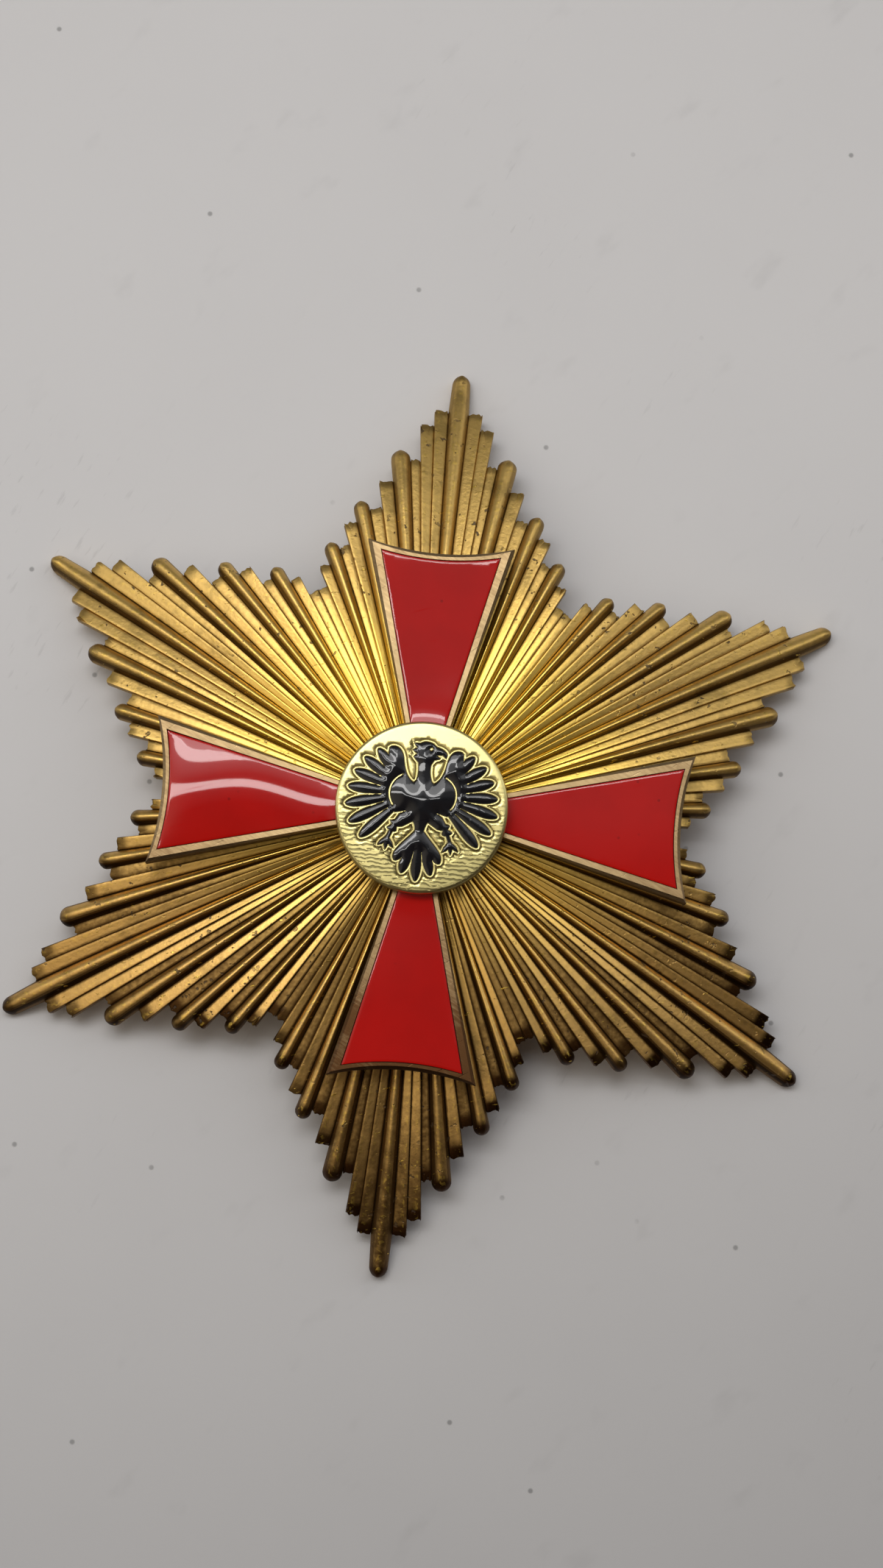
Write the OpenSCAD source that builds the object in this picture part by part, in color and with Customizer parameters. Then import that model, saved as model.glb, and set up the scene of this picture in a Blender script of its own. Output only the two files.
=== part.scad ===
// A six-pointed breast star of an order of merit: a domed star of straight rays, an
// enamelled cross laid over it, a round medallion with an eagle, and a brooch pin behind.
// +Y is up as worn, +Z is out of the chest, and the star rests on its six tips at z = 0.

/* [Star] */
// Reach of the six long rays, from the centre to the tip
star_reach = 45; // [38:0.5:56]
// Rise of the hollow back at the centre, above the tips
dome_rise = 6.4; // [5.6:0.1:9]
// Metal between the hollow back and the grooves
plate_t = 1.0; // [0.7:0.05:1.8]
// Height of the rounded rays above the grooves
ridge_h = 1.05; // [0.5:0.05:1.5]
// Radius of the round seat in the middle that carries the cross
seat_r = 6.2; // [4:0.1:7.2]

/* [Cross] */
// From the centre to the corners of an arm's end
cross_reach = 26; // [20:0.5:30]
// Width across the corners of an arm's end
arm_end_w = 14.3; // [10:0.1:18]
// Width of an arm where it leaves the medallion
arm_root_w = 5.1; // [4:0.1:7]
// Hollow of the curved end of an arm
arm_end_sag = 1; // [0.4:0.05:2]
// Thickness of the cross
cross_t = 2; // [1.2:0.1:3]
// Metal border beside the enamel at an arm's end
border_end = 1.1; // [0.8:0.05:1.8]
// Metal border beside the enamel at the medallion
border_root = 0.6; // [0.4:0.02:1]
// Metal border across the middle of an arm's end
border_tip = 0.65; // [0.3:0.05:1]
// Depth of the cells that hold the enamel
cell_depth = 0.8; // [0.4:0.05:1]
// How far the enamel runs in under the medallion
cell_tuck = 1.1; // [0.6:0.1:1.6]
// Turn of the cross on the star, anticlockwise
cross_turn = 1; // [0:0.1:4]
// Height left free between the rays and the arms
cross_clear = 0.3; // [0.2:0.05:1]

/* [Medallion] */
// Radius of the medallion
medal_r = 8.3; // [7.8:0.1:9.4]
// Thickness of the medallion
medal_t = 1.6; // [1.2:0.1:2.4]
// Width of the bevel round the medallion
medal_bevel = 0.3; // [0.1:0.05:0.6]
// Reach of the eagle from the medallion's centre
eagle_reach = 7.3; // [6:0.1:7.4]
// Depth of the eagle's enamel
eagle_depth = 0.4; // [0.2:0.05:0.8]
// Width of the raised line round the eagle
line_w = 0.2; // [0.1:0.01:0.3]
// Height of the raised line round the eagle
line_h = 0.14; // [0.05:0.01:0.2]
// How far the cross's hub stays inside the medallion's edge
hub_inset = 0.6; // [0.3:0.1:1]

/* [Pin] */
// Length of the strip that carries the pin
strip_len = 46; // [36:1:50]
// Width of the strip
strip_w = 6; // [4:0.5:8]
// Thickness of the strip
strip_t = 0.8; // [0.6:0.1:1]
// Radius of the pin wire
wire_r = 0.6; // [0.4:0.05:0.8]
// Radius of the hinge barrel and of the hook
barrel_r = 1.2; // [0.9:0.05:1.3]
// Width of the hinge barrel, of the hook and of their blocks
barrel_w = 4.2; // [3:0.1:5]
// Radius of the pad that fixes the strip under the star
pad_r = 5; // [3:0.5:6]
// Height of the barrel's underside above the surface that the star lies on
pin_clear = 0.4; // [0.2:0.05:0.8]

/* [Fit] */
// Gap left between pieces that seat on or in each other
fit_gap = 0.04; // [0.02:0.01:0.1]

/* [Hidden] */
POINTS = 6;
HALF = 180 / POINTS;
// The dome's curve: flat in the middle, steeper towards the tips
DOME_POWER = 3;
// The enamel's end is less hollow than the arm's end
CELL_SAG_SHARE = 0.65;
// Shares of the reach: the ring where the rays start, and where they have their full height
RAY_START = 0.17;
RAY_FULL = 0.56;
// The least share of their height that the rays have
RAY_LEAST = 0.25;
// Rings of the rays' mesh, as shares of the reach, and the least distance between two of them
RINGS = [RAY_START, 0.32, 0.46, 0.58, 0.69, 0.79, 0.88];
RING_LEAST = 0.02;
SAME_R = 0.001;

// The rays of half a point, from its axis to the notch between two points.
// kind, width in degrees, reach of its end as a share of the star's reach
FINGER = 0;
STEPPED = 1;
LOW = 2;
HALF_POINT = [
    [FINGER,  1.45, 1.000],
    [STEPPED, 1.95, 0.909],
    [STEPPED, 2.0, 0.873],
    [LOW,     1.6, 0.789],
    [FINGER,  3.1, 0.813],
    [STEPPED, 2.4, 0.743],
    [LOW,     2.3, 0.682],
    [FINGER,  2.9, 0.704],
    [STEPPED, 2.5, 0.660],
    [LOW,     2.1, 0.611],
    [FINGER,  3.1, 0.628],
    [STEPPED, 2.3, 0.582],
    [LOW,     2.3, 0.538],
];

// A ray's section on the side away from its point's axis: place across the ray, height share
SECTIONS = [
    [[0.18, 0.62], [0.5, 1.0], [0.82, 0.62]],
    [[0.10, 0.16], [0.88, 0.70]],
    [[0.10, 0.22], [0.90, 0.22]],
];
// The rounded end of a finger: place along the end, share of the ray's width, height share
FINGER_END = [[0.0, 1.0, 1.0], [0.5, 0.87, 0.88], [0.85, 0.53, 0.62]];
NOSE_HEIGHT = 0.25;
// A point's long ray narrows to this share of its width on the way from its neighbours' ends to its own
TIP_TAPER = 0.82;

function sum_to(list, n) = n <= 0 ? 0 : list[n - 1] + sum_to(list, n - 1);
function flat(lists) = [for (l = lists) each l];
function starts(sizes) = [for (i = 0, s = 0; i <= len(sizes); s = s + (i < len(sizes) ? sizes[i] : 0),
                               i = i + 1) s];

// All rays of the star, anticlockwise: kind, first angle, last angle, reach in mm, side of the axis
N_HALF = len(HALF_POINT);
WIDTHS = [for (row = HALF_POINT) row[1]];
function half_ray(point, i, side) =
    let (row = HALF_POINT[i], axis = 90 + point * 2 * HALF,
         near = sum_to(WIDTHS, i), far = near + row[1])
    [row[0], side < 0 ? axis - far : axis + near, side < 0 ? axis - near : axis + far,
     row[2] * star_reach, side];
function axis_ray(point) =
    let (row = HALF_POINT[0], axis = 90 + point * 2 * HALF)
    [row[0], axis - row[1], axis + row[1], row[2] * star_reach, 0];
RAYS = flat([for (p = [0 : POINTS - 1])
    concat([for (i = [N_HALF - 1 : -1 : 1]) half_ray(p, i, -1)],
           [axis_ray(p)],
           [for (i = [1 : N_HALF - 1]) half_ray(p, i, 1)])]);
N = len(RAYS);

// The six tips lie flat on the surface from here outwards
foot_r = star_reach * (1 - sin(HALF_POINT[0][1]));
function back_z(r) = dome_rise * max(0, 1 - pow(r / foot_r, DOME_POWER));
function fade(r) = min(1, max(RAY_LEAST, r / (RAY_FULL * star_reach)));
function groove_z(r) = back_z(r) + plate_t;
function ray_z(r, share) = groove_z(r) + ridge_h * fade(r) * share;

start_r = RAY_START * star_reach;
seat_z = max([for (r = [start_r : 1 : cross_reach]) ray_z(r, 1)]) + cross_clear;
hub_z = back_z(start_r);

// Where a ray's straight stretch ends: at its end, or where a finger's end begins to round
function ray_straight(k) =
    let (ray = RAYS[k], half_w = ray[3] * sin((ray[2] - ray[1]) / 2))
    ray[0] == FINGER ? ray[3] - half_w : ray[3];
function narrow(k, r) =
    let (free = ray_straight((k + 1) % N))
    RAYS[k][4] != 0 || r <= free ? 1 : 1 - (1 - TIP_TAPER) * (r - free) / (ray_straight(k) - free);
function ray_angle(k, u, r) =
    let (ray = RAYS[k])
    (ray[1] + ray[2]) / 2 + (u - 0.5) * (ray[2] - ray[1]) * narrow(k, r);
function rings_below(r) = [for (s = RINGS) if ((s + RING_LEAST) * star_reach < r) s * star_reach];

// A boundary line runs between ray k - 1 and ray k: the rings, and where each of them ends
function line_radii(k) =
    let (a = ray_straight((k + N - 1) % N), b = ray_straight(k), lo = min(a, b), hi = max(a, b),
         past = lo + RING_LEAST * star_reach)
    concat(rings_below(lo), [lo],
           hi - lo < SAME_R ? [] : concat([for (r = rings_below(hi)) if (r > past) r], [hi]));
LINES = [for (k = [0 : N - 1]) line_radii(k)];
LINE_STARTS = starts([for (l = LINES) len(l)]);
LINE_COUNT = LINE_STARTS[N];

function polar(r, a, z) = [r * cos(a), r * sin(a), z];
function line_angle(k, r) =
    let (before = (k + N - 1) % N)
    RAYS[before][4] == 0 ? ray_angle(before, 1, r) : ray_angle(k, 0, r);
LINE_TOP = flat([for (k = [0 : N - 1]) [for (r = LINES[k]) polar(r, line_angle(k, r), groove_z(r))]]);
LINE_BACK = flat([for (k = [0 : N - 1]) [for (r = LINES[k]) polar(r, line_angle(k, r), back_z(r))]]);

// A ray's own points: its section's columns along the straight stretch, then a finger's end
function columns(k) =
    let (s = SECTIONS[RAYS[k][0]])
    RAYS[k][4] < 0 ? [for (i = [len(s) - 1 : -1 : 0]) [1 - s[i][0], s[i][1]]] : s;
function ray_radii(k) = concat(rings_below(ray_straight(k)), [ray_straight(k)]);
function column_points(k, c) =
    [for (r = ray_radii(k)) polar(r, ray_angle(k, c[0], r), ray_z(r, c[1]))];
function end_point(k, u, row, share) =
    let (ray = RAYS[k], round_len = ray[3] - ray_straight(k), r = ray_straight(k) + row[0] * round_len,
         u_in = 0.5 + (u - 0.5) * row[1])
    polar(r, ray_angle(k, u_in, ray_straight(k)), share < 0 ? back_z(r) : ray_z(r, share * row[2]));
// Each later ring of a finger's end: edge, columns, edge, and the two edges on the back
function end_ring(k, row) =
    concat([end_point(k, 0, row, 0)], [for (c = columns(k)) end_point(k, c[0], row, c[1])],
           [end_point(k, 1, row, 0), end_point(k, 0, row, -1), end_point(k, 1, row, -1)]);
function nose(k) =
    let (r = RAYS[k][3], a = (RAYS[k][1] + RAYS[k][2]) / 2)
    [polar(r, a, ray_z(r, NOSE_HEIGHT)), polar(r, a, back_z(r))];
N_END = len(FINGER_END) - 1;
function ray_points(k) =
    concat(flat([for (c = columns(k)) column_points(k, c)]),
           RAYS[k][0] != FINGER ? [] :
           concat(flat([for (i = [1 : N_END]) end_ring(k, FINGER_END[i])]), nose(k)));
RAY_POINTS = [for (k = [0 : N - 1]) ray_points(k)];
RAY_STARTS = starts([for (p = RAY_POINTS) len(p)]);
RAY_BASE = 2 * LINE_COUNT;

// The seat in the middle, as a ring and a centre, and the centre of the hollow back
SEAT_BASE = RAY_BASE + RAY_STARTS[N];
SEAT_POINTS = concat([for (k = [0 : N - 1]) polar(seat_r, RAYS[k][1], seat_z)],
                     [[0, 0, seat_z], [0, 0, hub_z]]);

// Numbers of points in the mesh
function line_top(k, i) = LINE_STARTS[k % N] + i;
function line_back(k, i) = LINE_COUNT + LINE_STARTS[k % N] + i;
function own(k, i) = RAY_BASE + RAY_STARTS[k] + i;

// Triangles between two rows of points, each a list of [number, place along the row]
function next_triangles(a, b, i, j) =
    let (more_a = i + 1 < len(a), more_b = j + 1 < len(b))
    !more_a && !more_b ? [] :
    more_a && (!more_b || a[i + 1][1] <= b[j + 1][1])
        ? concat([[a[i][0], a[i + 1][0], b[j][0]]], next_triangles(a, b, i + 1, j))
        : concat([[a[i][0], b[j + 1][0], b[j][0]]], next_triangles(a, b, i, j + 1));
function zip(a, b) =
    [for (f = next_triangles(a, b, 0, 0)) if (f[0] != f[1] && f[1] != f[2] && f[2] != f[0]) f];

function line_row(k, limit, back) =
    [for (i = [0 : len(LINES[k % N]) - 1]) if (LINES[k % N][i] <= limit + SAME_R)
        [back ? line_back(k, i) : line_top(k, i), LINES[k % N][i]]];
function end_r(k, i) = ray_straight(k) + FINGER_END[i][0] * (RAYS[k][3] - ray_straight(k));

// A ray's rows, from its first edge to its last: numbers and radii
function ray_rows(k) =
    let (n = len(ray_radii(k)), cols = len(columns(k)), ring = cols + 4, tip = cols * n,
         finger = RAYS[k][0] == FINGER, limit = ray_straight(k),
         nose_at = tip + N_END * ring)
    [for (c = [0 : cols + 1])
        concat(c == 0 ? line_row(k, limit, false) :
               c == cols + 1 ? line_row(k + 1, limit, false) :
               [for (i = [0 : n - 1]) [own(k, (c - 1) * n + i), ray_radii(k)[i]]],
               !finger ? [] :
               concat([for (i = [1 : N_END]) [own(k, tip + (i - 1) * ring + c), end_r(k, i)]],
                      [[own(k, nose_at), RAYS[k][3]]]))];
function back_row(k, side) =
    let (cols = len(columns(k)), ring = cols + 4, tip = cols * len(ray_radii(k)))
    concat(line_row(k + side, ray_straight(k), true),
           RAYS[k][0] != FINGER ? [] :
           concat([for (i = [1 : N_END]) [own(k, tip + (i - 1) * ring + cols + 2 + side), end_r(k, i)]],
                  [[own(k, tip + N_END * ring + 1), RAYS[k][3]]]));

// The stretch of a row beyond the neighbour's end, which needs a wall down to the back
function beyond(row, r) = [for (p = row) if (p[1] >= r - SAME_R) p];
function wall(top, back) = len(top) < 2 ? [] :
    flat([for (i = [0 : len(top) - 2])
        top[i + 1][0] == back[i + 1][0] ? [] :
        [[top[i][0], back[i][0], top[i + 1][0]], [top[i + 1][0], back[i][0], back[i + 1][0]]]]);
function turned(faces) = [for (f = faces) [f[0], f[2], f[1]]];

function ray_faces(k) =
    let (rows = ray_rows(k), last = len(rows) - 1, back0 = back_row(k, 0), back1 = back_row(k, 1),
         before = ray_straight((k + N - 1) % N), after = ray_straight((k + 1) % N), mine = ray_straight(k),
         ends = [for (i = [0 : last]) [rows[i][len(rows[i]) - 1][0], i]])
    concat(
        flat([for (i = [0 : last - 1]) zip(rows[i], rows[i + 1])]),
        turned(zip(back0, back1)),
        wall(beyond(rows[0], min(before, mine)), beyond(back0, min(before, mine))),
        turned(wall(beyond(rows[last], min(after, mine)), beyond(back1, min(after, mine)))),
        RAYS[k][0] == FINGER ? [] :
            turned(zip(ends, [[back0[len(back0) - 1][0], 0], [back1[len(back1) - 1][0], last]])));

// The inner ends of the rays, joined to the seat above and closed flat below
INNER_TOP = flat([for (k = [0 : N - 1])
    let (rows = ray_rows(k), n = len(rows) - 1)
    [for (i = [0 : n - 1]) [rows[i][0][0], k + i / n]]]);
function seat(k) = SEAT_BASE + k % N;
HUB_FACES = concat(
    turned(zip([for (k = [0 : N]) [seat(k), k]], concat(INNER_TOP, [[INNER_TOP[0][0], N]]))),
    [for (k = [0 : N - 1]) [SEAT_BASE + N, seat(k), seat(k + 1)]],
    [for (k = [0 : N - 1]) [SEAT_BASE + N + 1, line_back(k + 1, 0), line_back(k, 0)]]);

module star() {
    color("goldenrod")
    polyhedron(
        points = concat(LINE_TOP, LINE_BACK, flat(RAY_POINTS), SEAT_POINTS),
        faces = turned(concat(flat([for (k = [0 : N - 1]) ray_faces(k)]), HUB_FACES)));
}

// An arm pointing up, with straight sides that spread outwards and a hollow end
hub_r = medal_r - hub_inset;
arm_root_y = medal_r + 1;
function along_arm(y) = (y - arm_root_y) / (cross_reach - arm_root_y);
function arm_half(y) = arm_root_w / 2 + (arm_end_w - arm_root_w) / 2 * along_arm(y);
function cell_half(y) = arm_half(y) - border_root - (border_end - border_root) * along_arm(y);
function hollow_end(half_w, y, sag, steps = 12) =
    let (r = (half_w * half_w + sag * sag) / (2 * sag), cy = y + r - sag, a = asin(half_w / r))
    [for (i = [0 : steps]) let (t = a * (1 - 2 * i / steps)) [r * sin(t), cy - r * cos(t)]];
module arm_outline() {
    foot_y = 0.8 * hub_r;
    polygon(concat([[-arm_half(foot_y), foot_y], [arm_half(foot_y), foot_y]],
                   hollow_end(arm_end_w / 2, cross_reach, arm_end_sag)));
}
cell_reach = cross_reach - border_tip - (1 - CELL_SAG_SHARE) * arm_end_sag;
module cell_outline(shrink = 0) {
    foot_y = medal_r - cell_tuck + shrink;
    end_y = cell_reach - shrink;
    polygon(concat([[shrink - cell_half(foot_y), foot_y], [cell_half(foot_y) - shrink, foot_y]],
                   hollow_end(cell_half(end_y) - shrink, end_y, CELL_SAG_SHARE * arm_end_sag)));
}

cross_z = seat_z + fit_gap;
module cross_frame() {
    color("darkgoldenrod")
    translate([0, 0, cross_z]) rotate(cross_turn) difference() {
        linear_extrude(cross_t) {
            for (a = [0 : 90 : 270]) rotate(a) arm_outline();
            circle(r = hub_r, $fn = 96);
        }
        for (a = [0 : 90 : 270]) rotate(a)
            translate([0, 0, cross_t - cell_depth]) linear_extrude(cell_depth + 1) cell_outline();
    }
}

// The enamel of the arm that points at the angle a, anticlockwise from straight up
module enamel(a) {
    color("firebrick")
    translate([0, 0, cross_z + cross_t - cell_depth + fit_gap]) rotate(cross_turn + a)
        linear_extrude(cell_depth - 2 * fit_gap) cell_outline(fit_gap);
}

medal_z = cross_z + cross_t + fit_gap;

// The eagle's outline, drawn on a reach of 1. Its wing feathers fan out from the shoulder.
// direction of the feather in degrees, share of the way to the circle that the wings reach
SHOULDER = [0.17, 0.16];
WING = [
    [ 50, 0.94],
    [ 34, 0.99],
    [ 18, 1.00],
    [  2, 1.00],
    [-14, 1.00],
    [-30, 0.97],
    [-46, 0.90],
];
// place of the root (y), direction in degrees, length
TAIL = [
    [-0.22,  -90, 0.76],
    [-0.25,  -73, 0.67],
    [-0.28,  -56, 0.54],
];
// Half width of a feather at shares of its length
VANE = [[0, 0.24], [0.3, 0.55], [0.55, 0.86], [0.72, 1], [0.84, 0.94], [0.93, 0.66], [0.98, 0.33]];
WING_HALF_W = 0.066;
TAIL_HALF_W = 0.064;
ANKLE = [0.412, -0.455];
TOES = [-126, -82, -38];
EYE = [0.06, 0.765];
EYE_R = 0.022;

function bend(a, b, c, steps = 5) =
    [for (i = [0 : steps]) let (t = i / steps) (1 - t) * (1 - t) * a + 2 * t * (1 - t) * b + t * t * c];
function way_out(from, a) =
    let (along = from[0] * cos(a) + from[1] * sin(a))
    sqrt(along * along - from * from + 1) - along;
module feather(from, a, length, half) {
    translate(from) rotate(a)
        polygon(concat([for (v = VANE) [v[0] * length, half * v[1]]], [[length, 0]],
                       [for (i = [len(VANE) - 1 : -1 : 0]) [VANE[i][0] * length, -half * VANE[i][1]]]));
}
// A gold line left open in the wing, along an arc round the shoulder
function arc(r, from, to, steps = 9) =
    [for (i = [0 : steps]) let (a = from + (to - from) * i / steps) [r * cos(a), r * sin(a)]];
module wing_line(r, from, to, w) {
    translate(SHOULDER) polygon(concat(arc(r + w / 2, from, to), arc(r - w / 2, to, from)));
}
module eagle_side() {
    difference() {
        union() {
            for (row = WING) feather(SHOULDER, row[0], row[1] * way_out(SHOULDER, row[0]), WING_HALF_W);
            // the arm of the wing, from the neck over the wrist, and the coverts below it
            polygon(concat(bend([0.04, 0.28], [0.22, 0.30], [0.27, 0.52]),
                           bend([0.29, 0.62], [0.33, 0.79], [0.46, 0.76]),
                           bend([0.49, 0.74], [0.49, 0.64], [0.50, 0.58]),
                           bend([0.56, 0.40], [0.60, 0.12], [0.44, -0.06]),
                           bend([0.34, -0.10], [0.20, -0.06], [0.04, -0.06])));
        }
        wing_line(0.27, -40, 66, 0.024);
    }
    for (row = TAIL) feather([0, row[0]], row[1], row[2], TAIL_HALF_W);
    // half of the body
    polygon(concat([[0, 0.40], [0.08, 0.40]], bend([0.10, 0.34], [0.24, 0.22], [0.19, 0.00]),
                   bend([0.17, -0.12], [0.07, -0.20], [0.06, -0.32]), [[0, -0.34]]));
    // a thigh with its tufts, a shank and the toes
    polygon([[0.12, -0.02], [0.28, -0.12], [0.33, -0.20], [0.39, -0.22], [0.37, -0.27], [0.43, -0.31],
             [0.395, -0.345], [0.435, -0.45], [0.39, -0.46], [0.35, -0.36], [0.30, -0.35], [0.30, -0.29],
             [0.23, -0.28], [0.10, -0.20]]);
    for (a = TOES)
        translate(ANKLE) rotate(a)
            polygon([[-0.02, -0.030], [0.09, -0.026], [0.155, -0.004], [0.09, 0.026], [-0.02, 0.030]]);
}
// Neck, throat, hooked beak, crown, and the tufts of the nape
module eagle_head() {
    difference() {
        polygon(concat(bend([0.10, 0.34], [0.06, 0.44], [0.075, 0.56]),
                       [[0.11, 0.625], [0.19, 0.65], [0.13, 0.695], [0.215, 0.70], [0.262, 0.655]],
                       bend([0.275, 0.70], [0.265, 0.77], [0.13, 0.80], 3),
                       bend([0.08, 0.84], [-0.02, 0.88], [-0.09, 0.83], 3),
                       [[-0.17, 0.83], [-0.125, 0.765], [-0.185, 0.74], [-0.12, 0.69], [-0.165, 0.65]],
                       bend([-0.10, 0.58], [-0.07, 0.44], [-0.10, 0.34])));
        translate(EYE) circle(r = EYE_R, $fn = 12);
    }
}
module eagle_outline() {
    scale(eagle_reach) {
        eagle_side();
        mirror([1, 0]) eagle_side();
        eagle_head();
    }
}

module medallion() {
    color("gold")
    translate([0, 0, medal_z]) {
        difference() {
            rotate_extrude($fn = 96)
                polygon([[0, 0], [medal_r, 0], [medal_r, medal_t - medal_bevel],
                         [medal_r - medal_bevel, medal_t], [0, medal_t]]);
            translate([0, 0, medal_t - eagle_depth]) linear_extrude(eagle_depth + 1) eagle_outline();
        }
        translate([0, 0, medal_t - fit_gap]) linear_extrude(line_h + fit_gap) difference() {
            offset(r = line_w, $fn = 16) eagle_outline();
            eagle_outline();
        }
    }
}

module eagle() {
    color("black")
    translate([0, 0, medal_z + medal_t - eagle_depth + fit_gap])
        linear_extrude(eagle_depth - fit_gap) offset(delta = -fit_gap / 2) eagle_outline();
}

// One plain brooch fitting: a pad under the star, a strip, two blocks with the hinge barrel and
// the hook, and the wire between them
strip_top = back_z(norm([strip_w, strip_len]) / 2) - 2 * fit_gap;
strip_mid = strip_top - strip_t / 2;
wire_z = pin_clear + barrel_r;
hinge_y = strip_len / 2 - 1.5 * barrel_r;
module block() {
    translate([-barrel_w / 2, -0.8 * barrel_r, wire_z])
        cube([barrel_w, 1.6 * barrel_r, strip_mid - wire_z]);
    translate([-barrel_w / 2, 0, wire_z]) rotate([0, 90, 0]) cylinder(r = barrel_r, h = barrel_w, $fn = 48);
}
module pin() {
    color("darkgoldenrod") {
        translate([0, 0, strip_mid]) cylinder(r = pad_r, h = hub_z - fit_gap - strip_mid, $fn = 64);
        translate([-strip_w / 2, -strip_len / 2, strip_top - strip_t]) cube([strip_w, strip_len, strip_t]);
        for (y = [-hinge_y, hinge_y]) translate([0, y, 0]) block();
        translate([0, -hinge_y, wire_z]) rotate([-90, 0, 0]) cylinder(r = wire_r, h = 2 * hinge_y, $fn = 32);
    }
}

star();
cross_frame();
enamel(0);  // enamel_top
enamel(90);  // enamel_left
enamel(180);  // enamel_bottom
enamel(270);  // enamel_right
medallion();
eagle();
pin();
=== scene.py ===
"""The looks of a six-pointed breast star: a domed star of cast gilt rays, a cross with red
enamel, a round gilt medallion with a black eagle, and a brooch pin. Lengths in mesh code are
in millimetres, and +Y is up as worn."""

import math
import random

import bmesh
import bpy
import numpy as np
from bpy.props import FloatProperty, FloatVectorProperty, PointerProperty
from bpy.types import Operator, Panel, PropertyGroup
from mathutils import Matrix, Vector, geometry


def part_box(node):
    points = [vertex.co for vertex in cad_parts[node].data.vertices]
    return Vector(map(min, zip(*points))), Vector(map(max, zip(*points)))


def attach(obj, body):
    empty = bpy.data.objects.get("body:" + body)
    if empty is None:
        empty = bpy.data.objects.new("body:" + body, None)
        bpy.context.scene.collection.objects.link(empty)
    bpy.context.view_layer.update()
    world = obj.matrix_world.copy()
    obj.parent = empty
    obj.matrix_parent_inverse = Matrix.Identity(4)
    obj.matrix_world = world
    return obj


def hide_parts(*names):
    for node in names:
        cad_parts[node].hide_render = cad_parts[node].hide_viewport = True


bl_info = {
    "name": "Breast star",
    "version": (1, 0, 0),
    "blender": (4, 5, 0),
    "location": "3D View > Sidebar > Breast star",
    "description": "Makes the pieces of a gilt and enamelled breast star round its packed frame",
    "category": "Object",
}

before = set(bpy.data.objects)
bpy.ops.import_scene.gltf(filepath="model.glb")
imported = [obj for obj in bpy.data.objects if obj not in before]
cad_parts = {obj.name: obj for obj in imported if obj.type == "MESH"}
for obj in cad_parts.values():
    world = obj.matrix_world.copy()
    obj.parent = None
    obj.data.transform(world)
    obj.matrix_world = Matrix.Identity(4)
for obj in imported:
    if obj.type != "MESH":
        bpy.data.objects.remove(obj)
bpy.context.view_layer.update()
MM = 0.001


def top_of(node):
    """Height of a node's upper side, in millimetres."""
    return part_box(node)[1].z / MM


def foot_of(node):
    """Height of a node's lower side, in millimetres."""
    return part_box(node)[0].z / MM


# Sizes and colours

def length(name, description, mm):
    """A size that a user may change, shown in the scene's unit."""
    return FloatProperty(name=name, description=description, default=mm * MM, min=0.0,
                         unit="LENGTH", precision=5)


def colour(name, description, rgb):
    """A colour that a user may change."""
    return FloatVectorProperty(name=name, description=description, default=rgb, size=3,
                               min=0.0, max=1.0, subtype="COLOR")


class StarSizes(PropertyGroup):
    reach: length("Reach", "From the centre to the tip of a long ray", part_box("star")[1].y / MM)
    dome_rise: length("Dome rise", "Rise of the hollow back at the centre", 6.4)
    plate: length("Plate", "Metal between the back and the grooves", 1.0)
    ridge: length("Ridge", "Height of the rounded rays above the grooves", 1.05)
    seat: length("Seat", "Radius of the seat in the middle", 6.2)
    ring_step: length("Ring step", "Distance between two rings of the mesh", 1.15)
    unevenness: FloatProperty(name="Unevenness", default=0.09, min=0.0, max=0.3,
                              description="How much the heights of the rays differ, as a share")


class CrossSizes(PropertyGroup):
    reach: length("Reach", "From the centre to the corners of an arm's end", 26.0)
    end_width: length("End width", "Width of an arm at its end", 14.3)
    root_width: length("Root width", "Width of an arm at the medallion", 5.1)
    end_sag: length("End sag", "How far an arm's end curves in", 1.0)
    root_border: length("Root border", "Border beside the enamel at the medallion", 0.6)
    end_border: length("End border", "Border beside the enamel at the arm's end", 1.1)
    tip_border: length("Tip border", "Border beyond the enamel at the arm's end", 0.65)
    root_bevel: length("Root bevel", "Width of the outer bevel at the medallion", 0.12)
    end_bevel: length("End bevel", "Width of the outer bevel at the arm's end", 0.34)
    bevel_drop: length("Bevel drop", "Height of the outer bevel", 0.22)
    cell: length("Cell", "Depth of the cells that hold the enamel", 0.8)
    tuck: length("Tuck", "How far the cells run in under the medallion", 1.1)
    turn: FloatProperty(name="Turn", description="Turn of the cross on the star",
                        default=math.radians(1.0), subtype="ANGLE")
    crown: length("Crown", "How far the left arm's enamel swells in the middle", 0.40)
    low_crown: length("Low crown", "How far the other arms' enamel swells", 0.06)


class MedalSizes(PropertyGroup):
    radius: length("Radius", "Radius of the medallion", 8.3)
    edge: length("Edge", "Rounding of the medallion's edge", 0.32)
    crown: length("Crown", "How far the medallion's face swells in the middle", 0.17)
    line: length("Line", "Width of the raised line round the eagle", 0.27)
    line_height: length("Line height", "Height of the raised line round the eagle", 0.14)
    # The dark furrow outside the raised line is painted shade
    dark_line: length("Dark line", "Width of the dark furrow outside the raised line", 0.10)
    cell: length("Cell", "Depth of the eagle's cell", 0.4)
    eagle_reach: length("Eagle reach", "From the centre to the tips of the wings", 7.3)
    crown_enamel: length("Enamel crown", "How far the black enamel swells", 0.07)


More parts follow.
